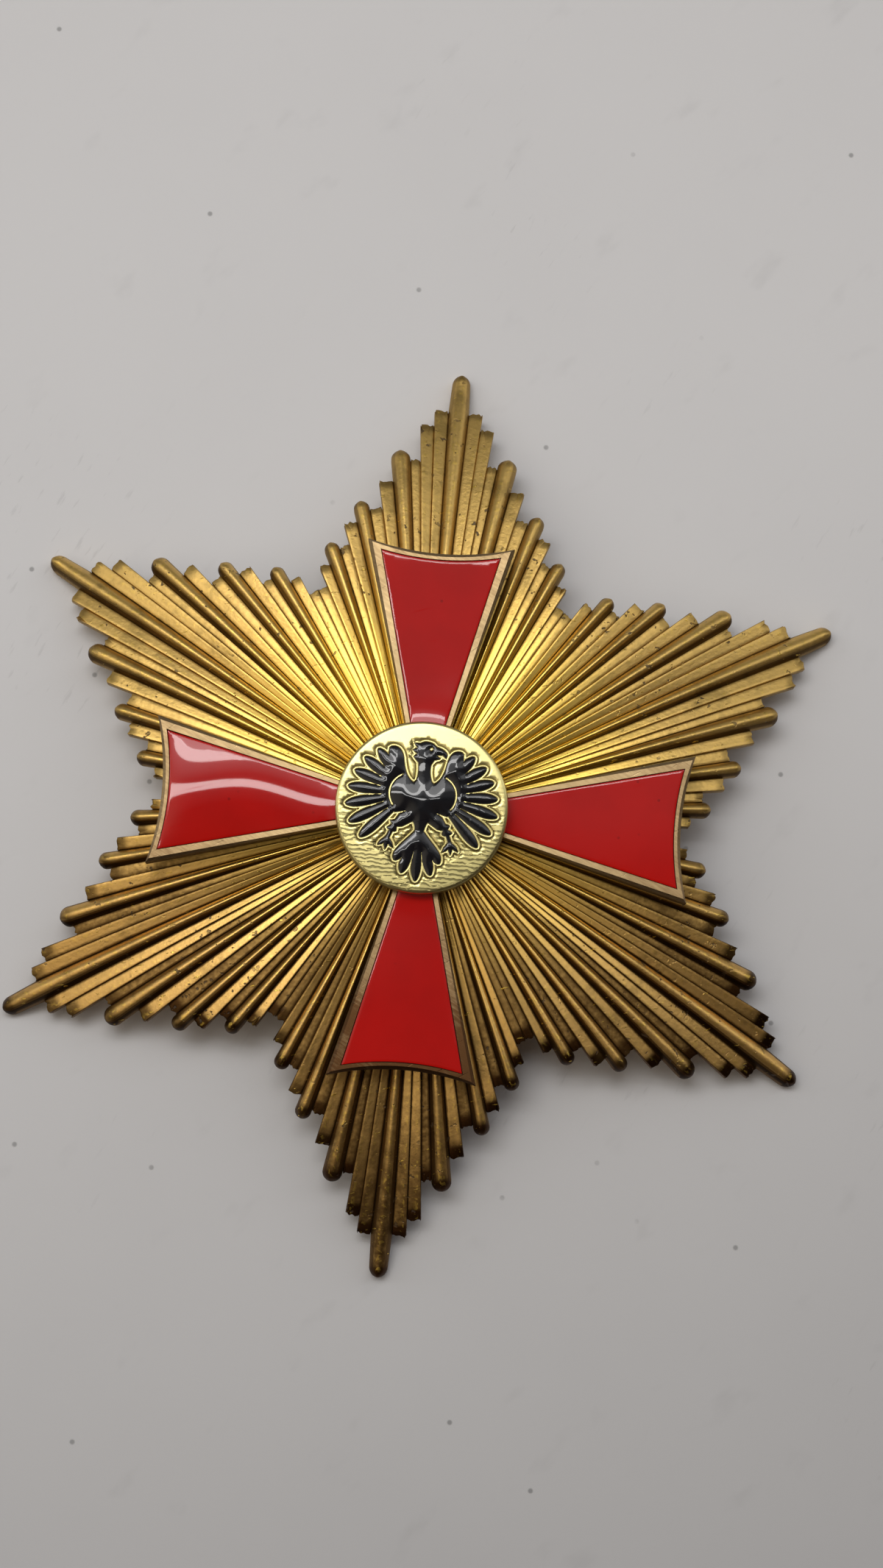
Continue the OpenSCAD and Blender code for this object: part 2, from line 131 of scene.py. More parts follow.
class Finishes(PropertyGroup):
    gilt: colour("Gilt", "The star's satin gilding", (0.76, 0.505, 0.158))
    # The polished colour also paints the highlights on the crests and the glints
    bright: colour("Worn bright", "The star's polished gilding", (0.92, 0.63, 0.115))
    # The ruddy colour is painted shade: the browner gilding that the lower rays show in shade
    ruddy_shade: colour("Ruddy", "The gilding of the star's lower rays", (0.76, 0.465, 0.15))
    # Patina is the dark tarnish in the grooves; it also colours the painted shade below, on the
    # ends and on flanks that face down
    patina_and_shade: colour("Patina", "Dark tarnish in the grooves", (0.062, 0.026, 0.008))
    border: colour("Border", "The cross's pale gilding", (0.46, 0.33, 0.17))
    medal: colour("Medallion", "The medallion's lemon gilding", (0.68, 0.59, 0.25))
    red: colour("Red enamel", "The arms of the cross", (0.58, 0.0052, 0.0026))
    black: colour("Black enamel", "The eagle", (0.006, 0.006, 0.008))
    brass: colour("Pin brass", "The brooch pin", (0.55, 0.42, 0.20))


class StageSettings(PropertyGroup):
    focal: FloatProperty(name="Focal length", description="Lens of the camera", default=72.89,
                         unit="CAMERA")
    floor: colour("Floor", "The pale table", (0.785, 0.782, 0.797))
    floor_size: length("Floor size", "Side of the table", 3000.0)
    sky: FloatProperty(name="Room light", description="Strength of the room's light",
                       default=1.80)
    window: FloatProperty(name="Window light", description="Power of the light from the window",
                          default=0.18, unit="POWER")
    strip: FloatProperty(name="Strip light", description="Power of the narrow ceiling light",
                         default=0.34, unit="POWER")


def mm(value):
    """A length in metres as millimetres."""
    return value / MM


# Shader maths

def maths(operation, swapped=False):
    """An operator of Value that adds a Math node."""
    def made(self, other):
        values = (other, self) if swapped else (self, other)
        return self.shader.node("ShaderNodeMath", {"operation": operation},
                                dict(enumerate(values)))
    return made


class Value:
    """A socket's value. Maths on it adds the Math nodes that work it out."""

    def __init__(self, shader, socket):
        self.shader = shader
        self.socket = socket

    __add__ = __radd__ = maths("ADD")
    __sub__ = maths("SUBTRACT")
    __rsub__ = maths("SUBTRACT", swapped=True)
    __mul__ = __rmul__ = maths("MULTIPLY")
    # The greater and the lesser of two values
    above = maths("MAXIMUM")
    below = maths("MINIMUM")

    def over(self, low, high):
        """0 at or below low and 1 at or above high, with a soft turn."""
        return self.shader.node("ShaderNodeMapRange", {"interpolation_type": "SMOOTHSTEP"},
                                {"Value": self, "From Min": low, "From Max": high})


class Shader:
    """The nodes of one material or world. place is the place on the piece or the direction
    in the room."""

    def __init__(self, tree, place="Object"):
        self.tree = tree
        tree.nodes.clear()
        self.place = self.node("ShaderNodeTexCoord", out=place)

    def node(self, kind, settings=None, inputs=None, out=0):
        """Adds a node: its settings first, then the values or links of its sockets."""
        node = self.tree.nodes.new(kind)
        for key, value in (settings or {}).items():
            if key == "stops":
                self._stops(node.color_ramp, value)
            else:
                setattr(node, key, value)
        for key, value in (inputs or {}).items():
            socket = node.inputs[key]
            if isinstance(value, Value):
                self.tree.links.new(value.socket, socket)
            else:
                socket.default_value = value
        return Value(self, node.outputs[out]) if node.outputs else node

    def _stops(self, ramp, stops):
        while len(ramp.elements) < len(stops):
            ramp.elements.new(0.5)
        for element, (place, rgb) in zip(ramp.elements, stops):
            element.position = place
            element.color = (*rgb, 1)

    def mix(self, share, a, b):
        """Colour a where share is 0, and b where it is 1."""
        a, b = (c if isinstance(c, Value) else (*c, 1) for c in (a, b))
        return self.node("ShaderNodeMix", {"data_type": "RGBA"}, {0: share, 6: a, 7: b}, out=2)

    def times(self, start, factor):
        """A colour or a vector multiplied by a number."""
        return self.node("ShaderNodeVectorMath", {"operation": "SCALE"},
                         {0: start if isinstance(start, Value) else tuple(start),
                          "Scale": factor})

    def darker(self, base, share, factor):
        """A colour that is multiplied by the factor where share is 1."""
        return self.mix(share, base, self.times(base, factor))

    def vector(self, operation, *values, out="Vector"):
        return self.node("ShaderNodeVectorMath", {"operation": operation},
                         dict(enumerate(values)), out=out)

    def towards(self, way):
        """How far the place lies in a direction."""
        return self.vector("DOT_PRODUCT", self.place, way, out="Value")

    def axis(self, name):
        """One coordinate of the place."""
        return self.node("ShaderNodeSeparateXYZ", {}, {0: self.place}, out=name)

    def attribute(self, name):
        """A value that the mesh carries at its points."""
        return self.node("ShaderNodeAttribute", {"attribute_name": name}, out="Fac")

    def noise(self, scale, detail=3.0, roughness=0.5, place=None):
        return self.node("ShaderNodeTexNoise", {},
                         {"Vector": place or self.place, "Scale": scale, "Detail": detail,
                          "Roughness": roughness})

    def drawn(self, scales, turn=0.0, detail=2.0, roughness=0.5):
        """Noise with a scale for each axis. Its place is first turned back about the
        upright axis."""
        place = self.node("ShaderNodeMapping", {"vector_type": "TEXTURE"},
                          {"Vector": self.place, "Rotation": (0, 0, turn),
                           "Scale": [1 / scale for scale in scales]})
        return self.noise(1.0, detail, roughness, place)

    def specks(self, scale, inner, outer):
        """Small round spots that are scattered over the plan."""
        return 1 - self.node("ShaderNodeTexVoronoi", {"voronoi_dimensions": "2D"},
                             {"Vector": self.place, "Scale": scale}).over(inner, outer)

    def bump(self, height, mm_deep):
        return self.node("ShaderNodeBump", {},
                         {"Height": height, "Strength": 1.0, "Distance": mm_deep * MM})


def material(name):
    """A new material with an empty node tree, and the shader that fills it."""
    made = bpy.data.materials.new(name)
    made.use_nodes = True
    return made, Shader(made.node_tree)


def finish(shader, **sockets):
    """Ends a material with one surface. Socket names have _ for a space."""
    surface = shader.node("ShaderNodeBsdfPrincipled", {},
                          {key.replace("_", " "): value for key, value in sockets.items()})
    shader.node("ShaderNodeOutputMaterial", {}, {"Surface": surface})


# Materials. Places and distances in them are in metres

# Dirt in the pits of the rays; dirt and painted shade on the cross's border, in its seams and
# on its edges and underside; painted shade in the medallion's furrows
PIT_DIRT = (0.05, 0.028, 0.012)
BORDER_DIRT_AND_SHADE = (0.115, 0.055, 0.022)
SEAM_DIRT_AND_SHADE = (0.035, 0.018, 0.010)
FURROW_SHADE = (0.06, 0.035, 0.012)
# Streaks along the rays: radius at which they are drawn, rise of their pattern outwards
RAY_MIDDLE = 0.030
SPINDLE = 0.06
# The dark of a groove goes from 0 to 1, and beyond it by this painted shade on flanks that face
# down
DOWN_SHADE = 0.3


def round_and_out(s):
    """The place as a point on a ring that rises slowly outwards, so that a noise on it is
    drawn out along the rays, and the distance outwards."""
    flat = s.vector("MULTIPLY", s.place, (1, 1, 0))
    out = s.vector("LENGTH", flat, out="Value")
    up = s.node("ShaderNodeCombineXYZ", {}, {"Z": out * SPINDLE})
    return s.vector("ADD", s.times(s.vector("NORMALIZE", flat), RAY_MIDDLE), up), out


class CastGilt:
    """The marks on the cast gilt rays, painted shade and highlights among them, each as a share
    of its full strength.
    """

    def __init__(self, s):
        self.s = s
        along, out = round_and_out(s)
        self.clouds, self.mottle = s.noise(90.0, 4.0, 0.6), s.noise(900.0, 3.0, 0.6)
        self.beads, self.grain = s.noise(2300.0, 1.0), s.noise(5200.0, 3.0, 0.6)
        self.streaks = s.noise(2600.0, 1.0, place=along)
        self.outward, height = out.over(0.011, 0.027), s.axis("Y")
        self.north, self.south = height.over(0.019, 0.038), 1 - height.over(-0.018, 0.007)
        self.foot, self.left = 1 - height.over(-0.042, -0.016), 1 - s.axis("X").over(-0.012, 0.003)
        self.depth = s.attribute("groove")
        self.down_shade = self.depth.over(1.0, 1.0 + DOWN_SHADE)
        # Painted highlight along the crests, in beads; glints are bright scratches with a painted
        # highlight
        self.crest_highlight = (1 - self.depth.over(0.0, 0.22)) * self.beads.over(0.54, 0.64)
        self.glints = s.drawn((900.0, 3800.0, 900.0), 0.3).over(0.70, 0.74)
        self.tarnish, self.pits = self.find_tarnish(), self.find_pits()

    def find_tarnish(self):
        """Patina in the grooves, stronger outwards; painted shade below; dark blotches at the
        foot.
        """
        dirt = self.depth + 0.20 * self.south
        dirt = dirt + 0.25 * (self.beads - 0.5) * (0.4 + 0.6 * self.outward)
        strength = 0.52 + 0.18 * self.outward + 0.38 * self.south - 0.30 * self.north
        tarnish = dirt.over(0.5, 0.90) * (strength + 0.34 * self.down_shade).below(1.0)
        blotches = (self.mottle + 0.5 * self.clouds).over(0.30, 0.95) * self.foot * 0.90
        return (tarnish * (0.7 + 0.3 * self.clouds)).above(blotches)

    def find_pits(self):
        """Pits in groups, more of them outwards."""
        groups = self.s.noise(170.0, 2.0).over(0.42, 0.58)
        pits = self.s.noise(1250.0, 2.0, 0.6).over(0.645, 0.70) * groups
        return pits * (0.3 + 0.7 * self.outward)

    def ends(self):
        """Dark worn ends of the rays, with painted shade that makes them broader and stronger
        below.
        """
        ends = self.s.attribute("edge").over(0.45 - 0.35 * self.south, 0.85 - 0.30 * self.south)
        return ends * self.clouds.over(0.2, 0.55) * (0.42 + 0.58 * self.south)

    def colour(self, look):
        s, clouds = self.s, self.clouds
        base = s.mix(self.outward, look.bright, look.gilt)
        # Painted shade: the lower rays take the browner gilding
        base = s.mix(self.south * 0.8, base, look.ruddy_shade)
        base = s.darker(base, self.streaks.over(0.45, 0.75) * 0.25, 0.75)
        base = s.darker(base, self.mottle.over(0.52, 0.72) * 0.35 * self.outward, 0.6)
        stains = s.noise(260.0, 4.0, 0.65).over(0.52, 0.68) * self.outward
        base = s.darker(base, stains * 0.5, 0.45)
        base = s.darker(base, self.north * (0.25 + 0.4 * clouds), 0.6)
        # Darker at the lower left near the middle
        lower_left_middle = self.south * (1 - self.outward) * self.left
        base = s.darker(base, lower_left_middle * (0.45 + 0.6 * clouds), 0.45)
        # Worn dark ends, with painted shade below
        base = s.mix(self.ends(), base, s.times(look.patina_and_shade, 0.5))
        # Patina in the grooves, with painted shade below
        base = s.mix(self.tarnish, base, look.patina_and_shade)
        # Painted shade on the flanks that face down, stronger outwards and below
        base = s.mix(self.down_shade * self.outward * (0.25 + 0.7 * self.south), base,
                     s.times(look.patina_and_shade, 0.3))
        # Painted highlights on the glints and the crests
        base = s.mix((self.glints * 0.8).above(self.crest_highlight * 0.35), base, look.bright)
        return s.mix(self.pits * 0.85, base, PIT_DIRT)

    def roughness(self):
        return (0.22 + self.outward * 0.15 + self.streaks * 0.06 + self.grain * 0.06
                + self.tarnish * 0.12 - self.glints * 0.12 - self.crest_highlight * 0.06)

    def relief(self):
        outer = self.mottle * 0.7 * self.outward + self.beads * 0.7 * self.outward
        return (self.streaks * 0.12 + self.grain * (0.20 + 0.2 * self.outward)
                + self.clouds * 0.8 + outer - self.pits * 2.0 + self.glints * 1.2)


def aged_gilt(look):
    """Cast gilt rays: bright in the middle, satin outwards, brown in the grooves, pitted."""
    made, s = material("aged_gilt")
    gilt = CastGilt(s)
    finish(s, Base_Color=gilt.colour(look), Metallic=1 - gilt.pits * 0.8,
           Roughness=gilt.roughness(), Normal=s.bump(gilt.relief(), 0.03))
    return made


def pale_gilt(look):
    """The cross's gilt border: flat, brushed slantwise, browner outwards, and with painted
    shade below that is darkest at the foot.
    """
    made, s = material("pale_gilt")
    _, out = round_and_out(s)
    dark_line, height = s.attribute("groove"), s.axis("Y")
    brushed = s.drawn((700.0, 5200.0, 3000.0), -0.5, 3.0, 0.6)
    scratch = s.drawn((260.0, 4200.0, 800.0), 0.6).over(0.64, 0.70)
    clouds = s.noise(240.0, 4.0, 0.6)
    south, foot = 1 - height.over(-0.024, 0.002), 1 - height.over(-0.030, -0.012)
    # Browner outwards, and painted shade below
    brown = (0.32 * out.over(0.014, 0.025) + 0.95 * south) * (0.60 + 0.9 * (clouds - 0.2))
    base = s.darker(look.border, clouds.over(0.35, 0.75) * 0.5, 0.72)
    base = s.mix(brown + 0.9 * (brushed - 0.5), base, BORDER_DIRT_AND_SHADE)
    # Painted shade at the foot of the lower arm
    base = s.darker(base, foot * (0.3 + 0.5 * clouds), 0.5)
    # Dark joints at the cells, and painted shade on the edges and the underside
    base = s.mix(dark_line, base, SEAM_DIRT_AND_SHADE)
    finish(s, Base_Color=base, Metallic=1 - dark_line * 0.5,
           Roughness=0.28 + brushed * 0.12 + clouds * 0.08 - scratch * 0.1 + dark_line * 0.2,
           Normal=s.bump(brushed * 0.7 - scratch * 0.8 + clouds * 0.8, 0.010))
    return made


def bright_gilt(look):
    """The medallion: polished lemon gilding, hatched with short level strokes below."""
    made, s = material("bright_gilt")
    dark_line, line = s.attribute("groove"), s.attribute("line")
    strokes = s.node("ShaderNodeTexWave", {"bands_direction": "Y"},
                     {"Vector": s.place, "Scale": 760.0, "Distortion": 5.0, "Detail": 1.0,
                      "Detail Scale": 1.4}, out="Fac").over(0.16, 0.46)
    strokes = strokes.above(s.drawn((700.0, 2500.0, 900.0), detail=3.0).over(0.54, 0.62))
    clouds, dust = s.noise(420.0, 3.0, 0.55), s.noise(7000.0, 2.0)
    scratch = s.drawn((300.0, 4200.0, 900.0), 0.25).over(0.66, 0.72)
    low = (1 - s.axis("Y").over(-0.0030, 0.0034)) * (1 - line)
    base = s.darker(look.medal, (1 - strokes) * low * 0.92, 0.34)
    base = s.darker(base, clouds.over(0.45, 0.8) * 0.3, 0.78)
    # Painted shade in the furrows and at the medallion's foot
    base = s.mix(dark_line, base, FURROW_SHADE)
    finish(s, Base_Color=base, Metallic=1 - dark_line * 0.4,
           Roughness=0.24 + clouds * 0.06 + dust * 0.05 + dark_line * 0.25,
           Normal=s.bump(strokes * low * 3.0 + dust * 0.10 + clouds * 0.3 - scratch * 0.2,
                         0.010))
    return made


def enamel(name, base, wear):
    """Glassy enamel with a soft orange-peel swell, faint clouds, dust and hair scratches."""
    made, s = material(name)
    clouds = s.noise(130.0, 3.0, 0.55)
    peel, waves = s.noise(260.0, 2.0), s.noise(95.0, 1.0, 0.4)
    brushed = s.drawn((340.0, 2500.0, 900.0), -0.16)
    scratch = s.drawn((260.0, 5200.0, 900.0), 0.35).over(0.68, 0.74)
    specks = s.specks(260.0, 0.02, 0.05) * s.noise(210.0).over(0.55, 0.63)
    body = s.darker(base, clouds.over(0.3, 0.75) * wear, 0.72)
    body = s.mix(specks * wear, body, s.times(base, 0.3))
    finish(s, Base_Color=body, Roughness=0.24 + clouds * 0.1, Coat_Weight=1 - scratch * 0.5,
           Coat_Roughness=0.035, Coat_IOR=1.5, Specular_IOR_Level=0.0,
           Normal=s.bump(peel * 0.8 + waves * 2.2 + brushed * 0.32 - scratch * 0.02, 0.012))
    return made


def pin_brass(look):
    """The brooch pin: dull drawn brass with dark handling marks."""
    made, s = material("pin_metal")
    drawn = s.drawn((5200.0, 260.0, 5200.0), detail=3.0, roughness=0.6)
    clouds = s.noise(260.0, 4.0, 0.6)
    base = s.darker(look.brass, clouds.over(0.35, 0.75) * 0.7, 0.5)
    finish(s, Base_Color=base, Metallic=1.0, Roughness=0.30 + clouds * 0.15 + drawn * 0.08,
           Normal=s.bump(drawn * 0.6 + clouds * 0.6, 0.012))
    return made


def table_top(settings):
    """The pale table: matt, darker away from the light, with clouds, smudges and specks."""
    made, s = material("pale_table")
    clouds, grain = s.noise(26.0, 4.0, 0.6), s.noise(1400.0, 3.0, 0.6)
    smudge = s.drawn((130.0, 240.0, 60.0), 0.9, 3.0).over(0.60, 0.80)
    scuffs = s.drawn((300.0, 1500.0, 60.0), 1.1, 3.0).over(0.62, 0.72)
    scuffs = scuffs * s.noise(24.0).over(0.52, 0.64)
    specks = s.specks(60.0, 0.008, 0.020) * s.noise(37.0).over(0.46, 0.53)
    base = s.darker(settings.floor, clouds.over(0.35, 0.7) * 0.35, 0.94)
    # Painted shade: the table grows darker away from the light
    base = s.darker(base, 1 - s.towards((-0.4, 1.0, 0.0)).over(-0.15, 0.045), 0.60)
    base = s.darker(base, smudge * 0.5, 0.86)
    base = s.darker(base, scuffs * 0.5, 0.78)
    base = s.darker(base, specks * 0.8, 0.4)
    finish(s, Base_Color=base, Roughness=0.55, Normal=s.bump(grain, 0.01))
    return made


# Mesh helpers

# Triangles and steps that are smaller are left out
LEAST_AREA = 2e-5
LEAST_STEP = 0.03
# Points this close are one point
SAME = 1e-4
# Gap between two rows of evenly spread points, as a share of the gap within a row
ROW_SHARE = 0.866


def keep_sharp(work, degrees):
    """Smooth shading, with sharp edges where the surface turns by more than this."""
    limit = math.radians(degrees)
    for face in work.faces:
        face.smooth = True
    for edge in work.edges:
        if len(edge.link_faces) == 2 and edge.calc_face_angle() > limit:
            edge.smooth = False


def piece(name, points, faces, values=None, degrees=38.0):
    """A closed mesh object from points in millimetres. values holds a number for each point."""
    mesh = bpy.data.meshes.new(name)
    mesh.from_pydata([(x * MM, y * MM, z * MM) for x, y, z in points], [], faces)
    for key, numbers in (values or {}).items():
        layer = mesh.attributes.new(key, "FLOAT", "POINT")
        layer.data.foreach_set("value", np.asarray(numbers, np.float32))
    work = bmesh.new()
    work.from_mesh(mesh)
    bmesh.ops.recalc_face_normals(work, faces=work.faces)
    keep_sharp(work, degrees)
    open_edges = sum(1 for edge in work.edges if len(edge.link_faces) != 2)
    work.to_mesh(mesh)
    work.free()
    if open_edges:
        raise RuntimeError(f"{name} has {open_edges} open edges")
    made = bpy.data.objects.new(name, mesh)
    bpy.context.scene.collection.objects.link(made)
    return made


def dress(made, finish_in, slot, *nodes):
    """Gives a piece its material, and lets it stand for its CAD nodes. Its slot is not used."""
    made.data.materials.append(finish_in)
    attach(made, "root")
    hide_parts(*nodes)
    return made


def turned(points, degrees):
    """Points turned about the centre, anticlockwise. A height, where they have one, stays."""
    a = math.radians(degrees)
    places = np.array(points, float)
    places[:, :2] = places[:, :2] @ [[math.cos(a), math.sin(a)], [-math.sin(a), math.cos(a)]]
    return places


def arc(centre, radius, first, last, steps=14):
    """Points on an arc from its first to its last direction, in degrees."""
    return [(centre[0] + radius * math.cos(math.radians(a)),
             centre[1] + radius * math.sin(math.radians(a)))
            for a in np.linspace(first, last, steps + 1)]


def dense(loop, step):
    """A closed loop with points at most a step apart."""
    made = []
    for a, b in zip(loop, np.roll(loop, -1, axis=0)):
        count = max(1, math.ceil(np.linalg.norm(b - a) / step))
        made += [a + (b - a) * i / count for i in range(count)]
    return np.array(made)


def inside(points, loops):
    """Which points lie inside the loops, counting each crossing to the right."""
    found = np.zeros(len(points), bool)
    x, y = points[:, 0], points[:, 1]
    for loop in loops:
        for (ax, ay), (bx, by) in zip(loop, np.roll(loop, -1, axis=0)):
            crosses = (ay > y) != (by > y)
            if crosses.any():
                found ^= crosses & (x < ax + (y - ay) * (bx - ax) / (by - ay))
    return found


def distance(points, loops):
    """Distance from each point to the nearest of the loops' edges."""
    nearest = np.full(len(points), np.inf)
    for loop in loops:
        for a, b in zip(loop, np.roll(loop, -1, axis=0)):
            way = b - a
            share = np.clip((points - a) @ way / max(way @ way, 1e-12), 0, 1)
            gap = points - a - share[:, None] * way
            nearest = np.minimum(nearest, np.einsum("ij,ij->i", gap, gap))
    return np.sqrt(nearest)


def tile(loops, points, keep):
    """Triangles over loops and loose points. keep tells which centres of triangles stay.
    Gives the points, the triangles, and the number of each of the loops' points."""
    given = [Vector(p) for loop in loops for p in loop] + [Vector(p) for p in points]
    edges, start = [], 0
    for loop in loops:
        count = len(loop)
        edges += [(start + i, start + (i + 1) % count) for i in range(count)]
        start += count
    made = geometry.delaunay_2d_cdt(given, edges, [], 0, 1e-6)
    places = np.array([tuple(p) for p in made[0]])
    faces = np.array([f for f in made[2] if len(f) == 3])
    sides = places[faces[:, 1:]] - places[faces[:, :1]]
    area = np.abs(sides[:, 0, 0] * sides[:, 1, 1] - sides[:, 0, 1] * sides[:, 1, 0])
    faces = faces[keep(places[faces].mean(axis=1)) & (area > LEAST_AREA)]
    number = {old: new for new, olds in enumerate(made[3]) for old in olds}
    return places, faces.tolist(), [number[i] for i in range(start)]


def spread(points, least):
    """The points without those that lie closer than this to one before them."""
    kept, cells = [], {}
    for p in points:
        i, j = int(p[0] // least), int(p[1] // least)
        near = [q for a in (-1, 0, 1) for b in (-1, 0, 1) for q in cells.get((i + a, j + b), ())]
        if all((p[0] - q[0]) ** 2 + (p[1] - q[1]) ** 2 > least * least for q in near):
            cells.setdefault((i, j), []).append(p)
            kept.append(p)
    return np.array(kept)


def hexagons(x_reach, y_low, y_high, step):
    """Evenly spread points in rows."""
    rows = []
    for j, y in enumerate(np.arange(y_low, y_high, step * ROW_SHARE)):
        xs = np.arange(-x_reach, x_reach, step) + (j % 2) * step / 2
        rows.append(np.stack([xs, np.full(len(xs), y)], axis=1))
    return np.concatenate(rows)


class Relief:
    """A closed mesh that starts as a tiled face on top. Rings of points carry its walls down."""

    def __init__(self, loops, loose, keep):
        self.flat, self.faces, numbers = tile(loops, loose, keep)
        self.rows, self.points, self.dark = [], [], []
        for loop in loops:
            self.rows.append(numbers[:len(loop)])
            numbers = numbers[len(loop):]

    def lift(self, heights, dark=0.0):
        """Gives the face its heights and its darkness."""
        self.points = [(x, y, z) for (x, y), z in zip(self.flat, heights)]
        self.dark = list(np.zeros(len(self.flat)) + dark)

    def wall(self, row, loop, z, dark=0.0):
        """A wall from a row of points to a ring at one height. Gives the ring's numbers."""
        start, count = len(self.points), len(loop)
        self.points += [(x, y, z) for x, y in loop]
        self.dark += [dark] * count
        self.faces += [(row[i], row[(i + 1) % count], start + (i + 1) % count, start + i)
                       for i in range(count)]
        return list(range(start, start + count))

    def close(self, row):
        """One flat face over a ring."""
        self.faces.append(tuple(row))

    def close_between(self, loops, rows):
        """A tiled floor between rings, some of which may lie inside others."""
        _, faces, numbers = tile(loops, [], lambda c: inside(c, loops))
        name = dict(zip(numbers, sum(rows, [])))
        self.faces += [tuple(name[i] for i in face) for face in faces]


# The star

FINGER, STEPPED, LOW = range(3)
POINTS = 6
# The rays of half a point, from its axis outwards: kind, width in degrees, share of the reach
HALF_POINT = (
    (FINGER, 1.45, 1.000), (STEPPED, 1.95, 0.909), (STEPPED, 2.0, 0.873), (LOW, 1.6, 0.789),
    (FINGER, 3.1, 0.813), (STEPPED, 2.4, 0.743), (LOW, 2.3, 0.682), (FINGER, 2.9, 0.704),
    (STEPPED, 2.5, 0.660), (LOW, 2.1, 0.611), (FINGER, 3.1, 0.628), (STEPPED, 2.3, 0.582),
    (LOW, 2.3, 0.538),
)
# A rounded ray's section: its columns, and how full its arch is
FINGER_COLUMNS = 11
ARCH = (2.1, 0.8)
# Sections of the flat rays, away from the point's axis: place across, height share
STEP_SECTION = ((0.03, 0.25), (0.07, 0.28), (0.28, 0.32), (0.50, 0.36), (0.72, 0.405),
                (0.90, 0.44), (0.94, 0.43), (0.975, 0.35))
LOW_SECTION = ((0.04, 0.13), (0.09, 0.16), (0.30, 0.18), (0.50, 0.19), (0.70, 0.20),
               (0.91, 0.20), (0.96, 0.17))
# Height share at which a flat ray's gilding has no tarnish
CLEAN_HEIGHT = {STEPPED: 0.42, LOW: 0.45}
# Height share and darkness of the line between two kinds of rays
LINES = {(FINGER, STEPPED): (0.10, 1.0), (FINGER, LOW): (0.05, 1.0),
         (STEPPED, STEPPED): (0.20, 0.8), (STEPPED, LOW): (0.11, 0.9), (LOW, LOW): (0.10, 0.9)}
# The rays begin at the first share of the reach with the least share of their height, and
# have their full height from the second one on
RAY_START = 0.17
RAY_FULL = 0.56
RAY_LEAST = 0.55
# Waves along the rays: height share, and the ranges of their phase and of their turn for each
# millimetre, in radians
WAVE = 0.03
PHASES = (0, 6.3)
PITCHES = (0.25, 0.6)
HEIGHT_SEED = 11
# Least gap between a ring of the mesh and a ray's end
RING_GAP = 0.3
# Power of the dome's curve
DOME_POWER = 3
# The seat lies this far below the cross
SEAT_GAP = 0.04
# The seat's darkness is painted shade under the cross
SEAT_DARK = 0.5
# A long ray's width at its end, as a share
TIP_TAPER = 0.82
# A rounded end: its steps, the height share of its nose, and the nose's darkness, worn
# brown with painted shade, which is less by NOSE_LIGHT on a ray that points up
END_STEPS = 6
NOSE_SHARE = 0.25
NOSE_DARK = 0.8
NOSE_LIGHT = 0.3
# A flat end: length and height share of its worn edge, room before it, how far its corners
# are cut and how sharply, and how uneven it is
BROW = 0.16
BROW_DROP = 0.72
BROW_ROOM = 0.1
CORNER = 0.14
CORNER_POWER = 8
RAGGED = 0.14
TIP_SEED = 5
# Width of the dark in a groove
GROOVE = 0.26
# Length over which the dark of a ray's end fades, and a distance well beyond it
END_DARK = 1.8
FAR = 9.0
# Darkness of the side walls and of the back beneath them: tarnish, and painted shade where they
# stand close to the table
WALL_DARK = 0.8
# A rounded ray's flank: share that stays clean, width over which it darkens, and how much
# broader the dark is where it faces down, which is painted shade
FLANK_CLEAN = 0.34
FLANK_SOFT = 0.42
FLANK_DOWN_SHADE = 0.45


def finger_section():
    """A rounded ray's section."""
    made = []
    for i in range(1, FINGER_COLUMNS):
        side = abs(2 * i / FINGER_COLUMNS - 1)
        made.append((i / FINGER_COLUMNS, (1 - side ** ARCH[0]) ** ARCH[1]))
    return tuple(made)


SECTIONS = (finger_section(), STEP_SECTION, LOW_SECTION)


class Ray:
    """One ray of the star. side is -1 right of its point's axis as it points up, 1 left of it
    and 0 on it. free is the radius from which a long ray stands alone."""

    def __init__(self, kind, first, last, end, side):
        self.kind, self.first, self.last, self.end, self.side = kind, first, last, end, side
        self.flat = kind != FINGER
        self.straight = end - CORNER
        if not self.flat:
            self.straight = end * (1 - math.sin(math.radians((last - first) / 2)))
        middle = math.radians((first + last) / 2)
        self.rise, self.east = math.sin(middle), math.cos(middle)
        # The nose is worn dark, with painted shade that is stronger on a ray that points down
        self.nose_dark = NOSE_DARK - NOSE_LIGHT * self.rise
        self.columns = SECTIONS[kind]
        if side < 0:
            self.columns = tuple((1 - u, h) for u, h in reversed(self.columns))
        self.free = math.inf

    def angle(self, u, r):
        """Direction of the place u across the ray. A long ray narrows where it is alone."""
        share = 1.0
        if r > self.free:
            share -= (1 - TIP_TAPER) * min(1.0, (r - self.free) / (self.straight - self.free))
        return (self.first + self.last) / 2 + (u - 0.5) * (self.last - self.first) * share

    def flank(self, u):
        """Darkness at the place u across a rounded ray. Painted shade makes it deeper on a flank
        that faces down as worn."""
        side = 2 * u - 1
        south = -self.east if side > 0 else self.east
        dark = (abs(side) * (1 + FLANK_DOWN_SHADE * south) - FLANK_CLEAN) / FLANK_SOFT
        return min(1 + DOWN_SHADE * max(0.0, south), max(0.0, dark))


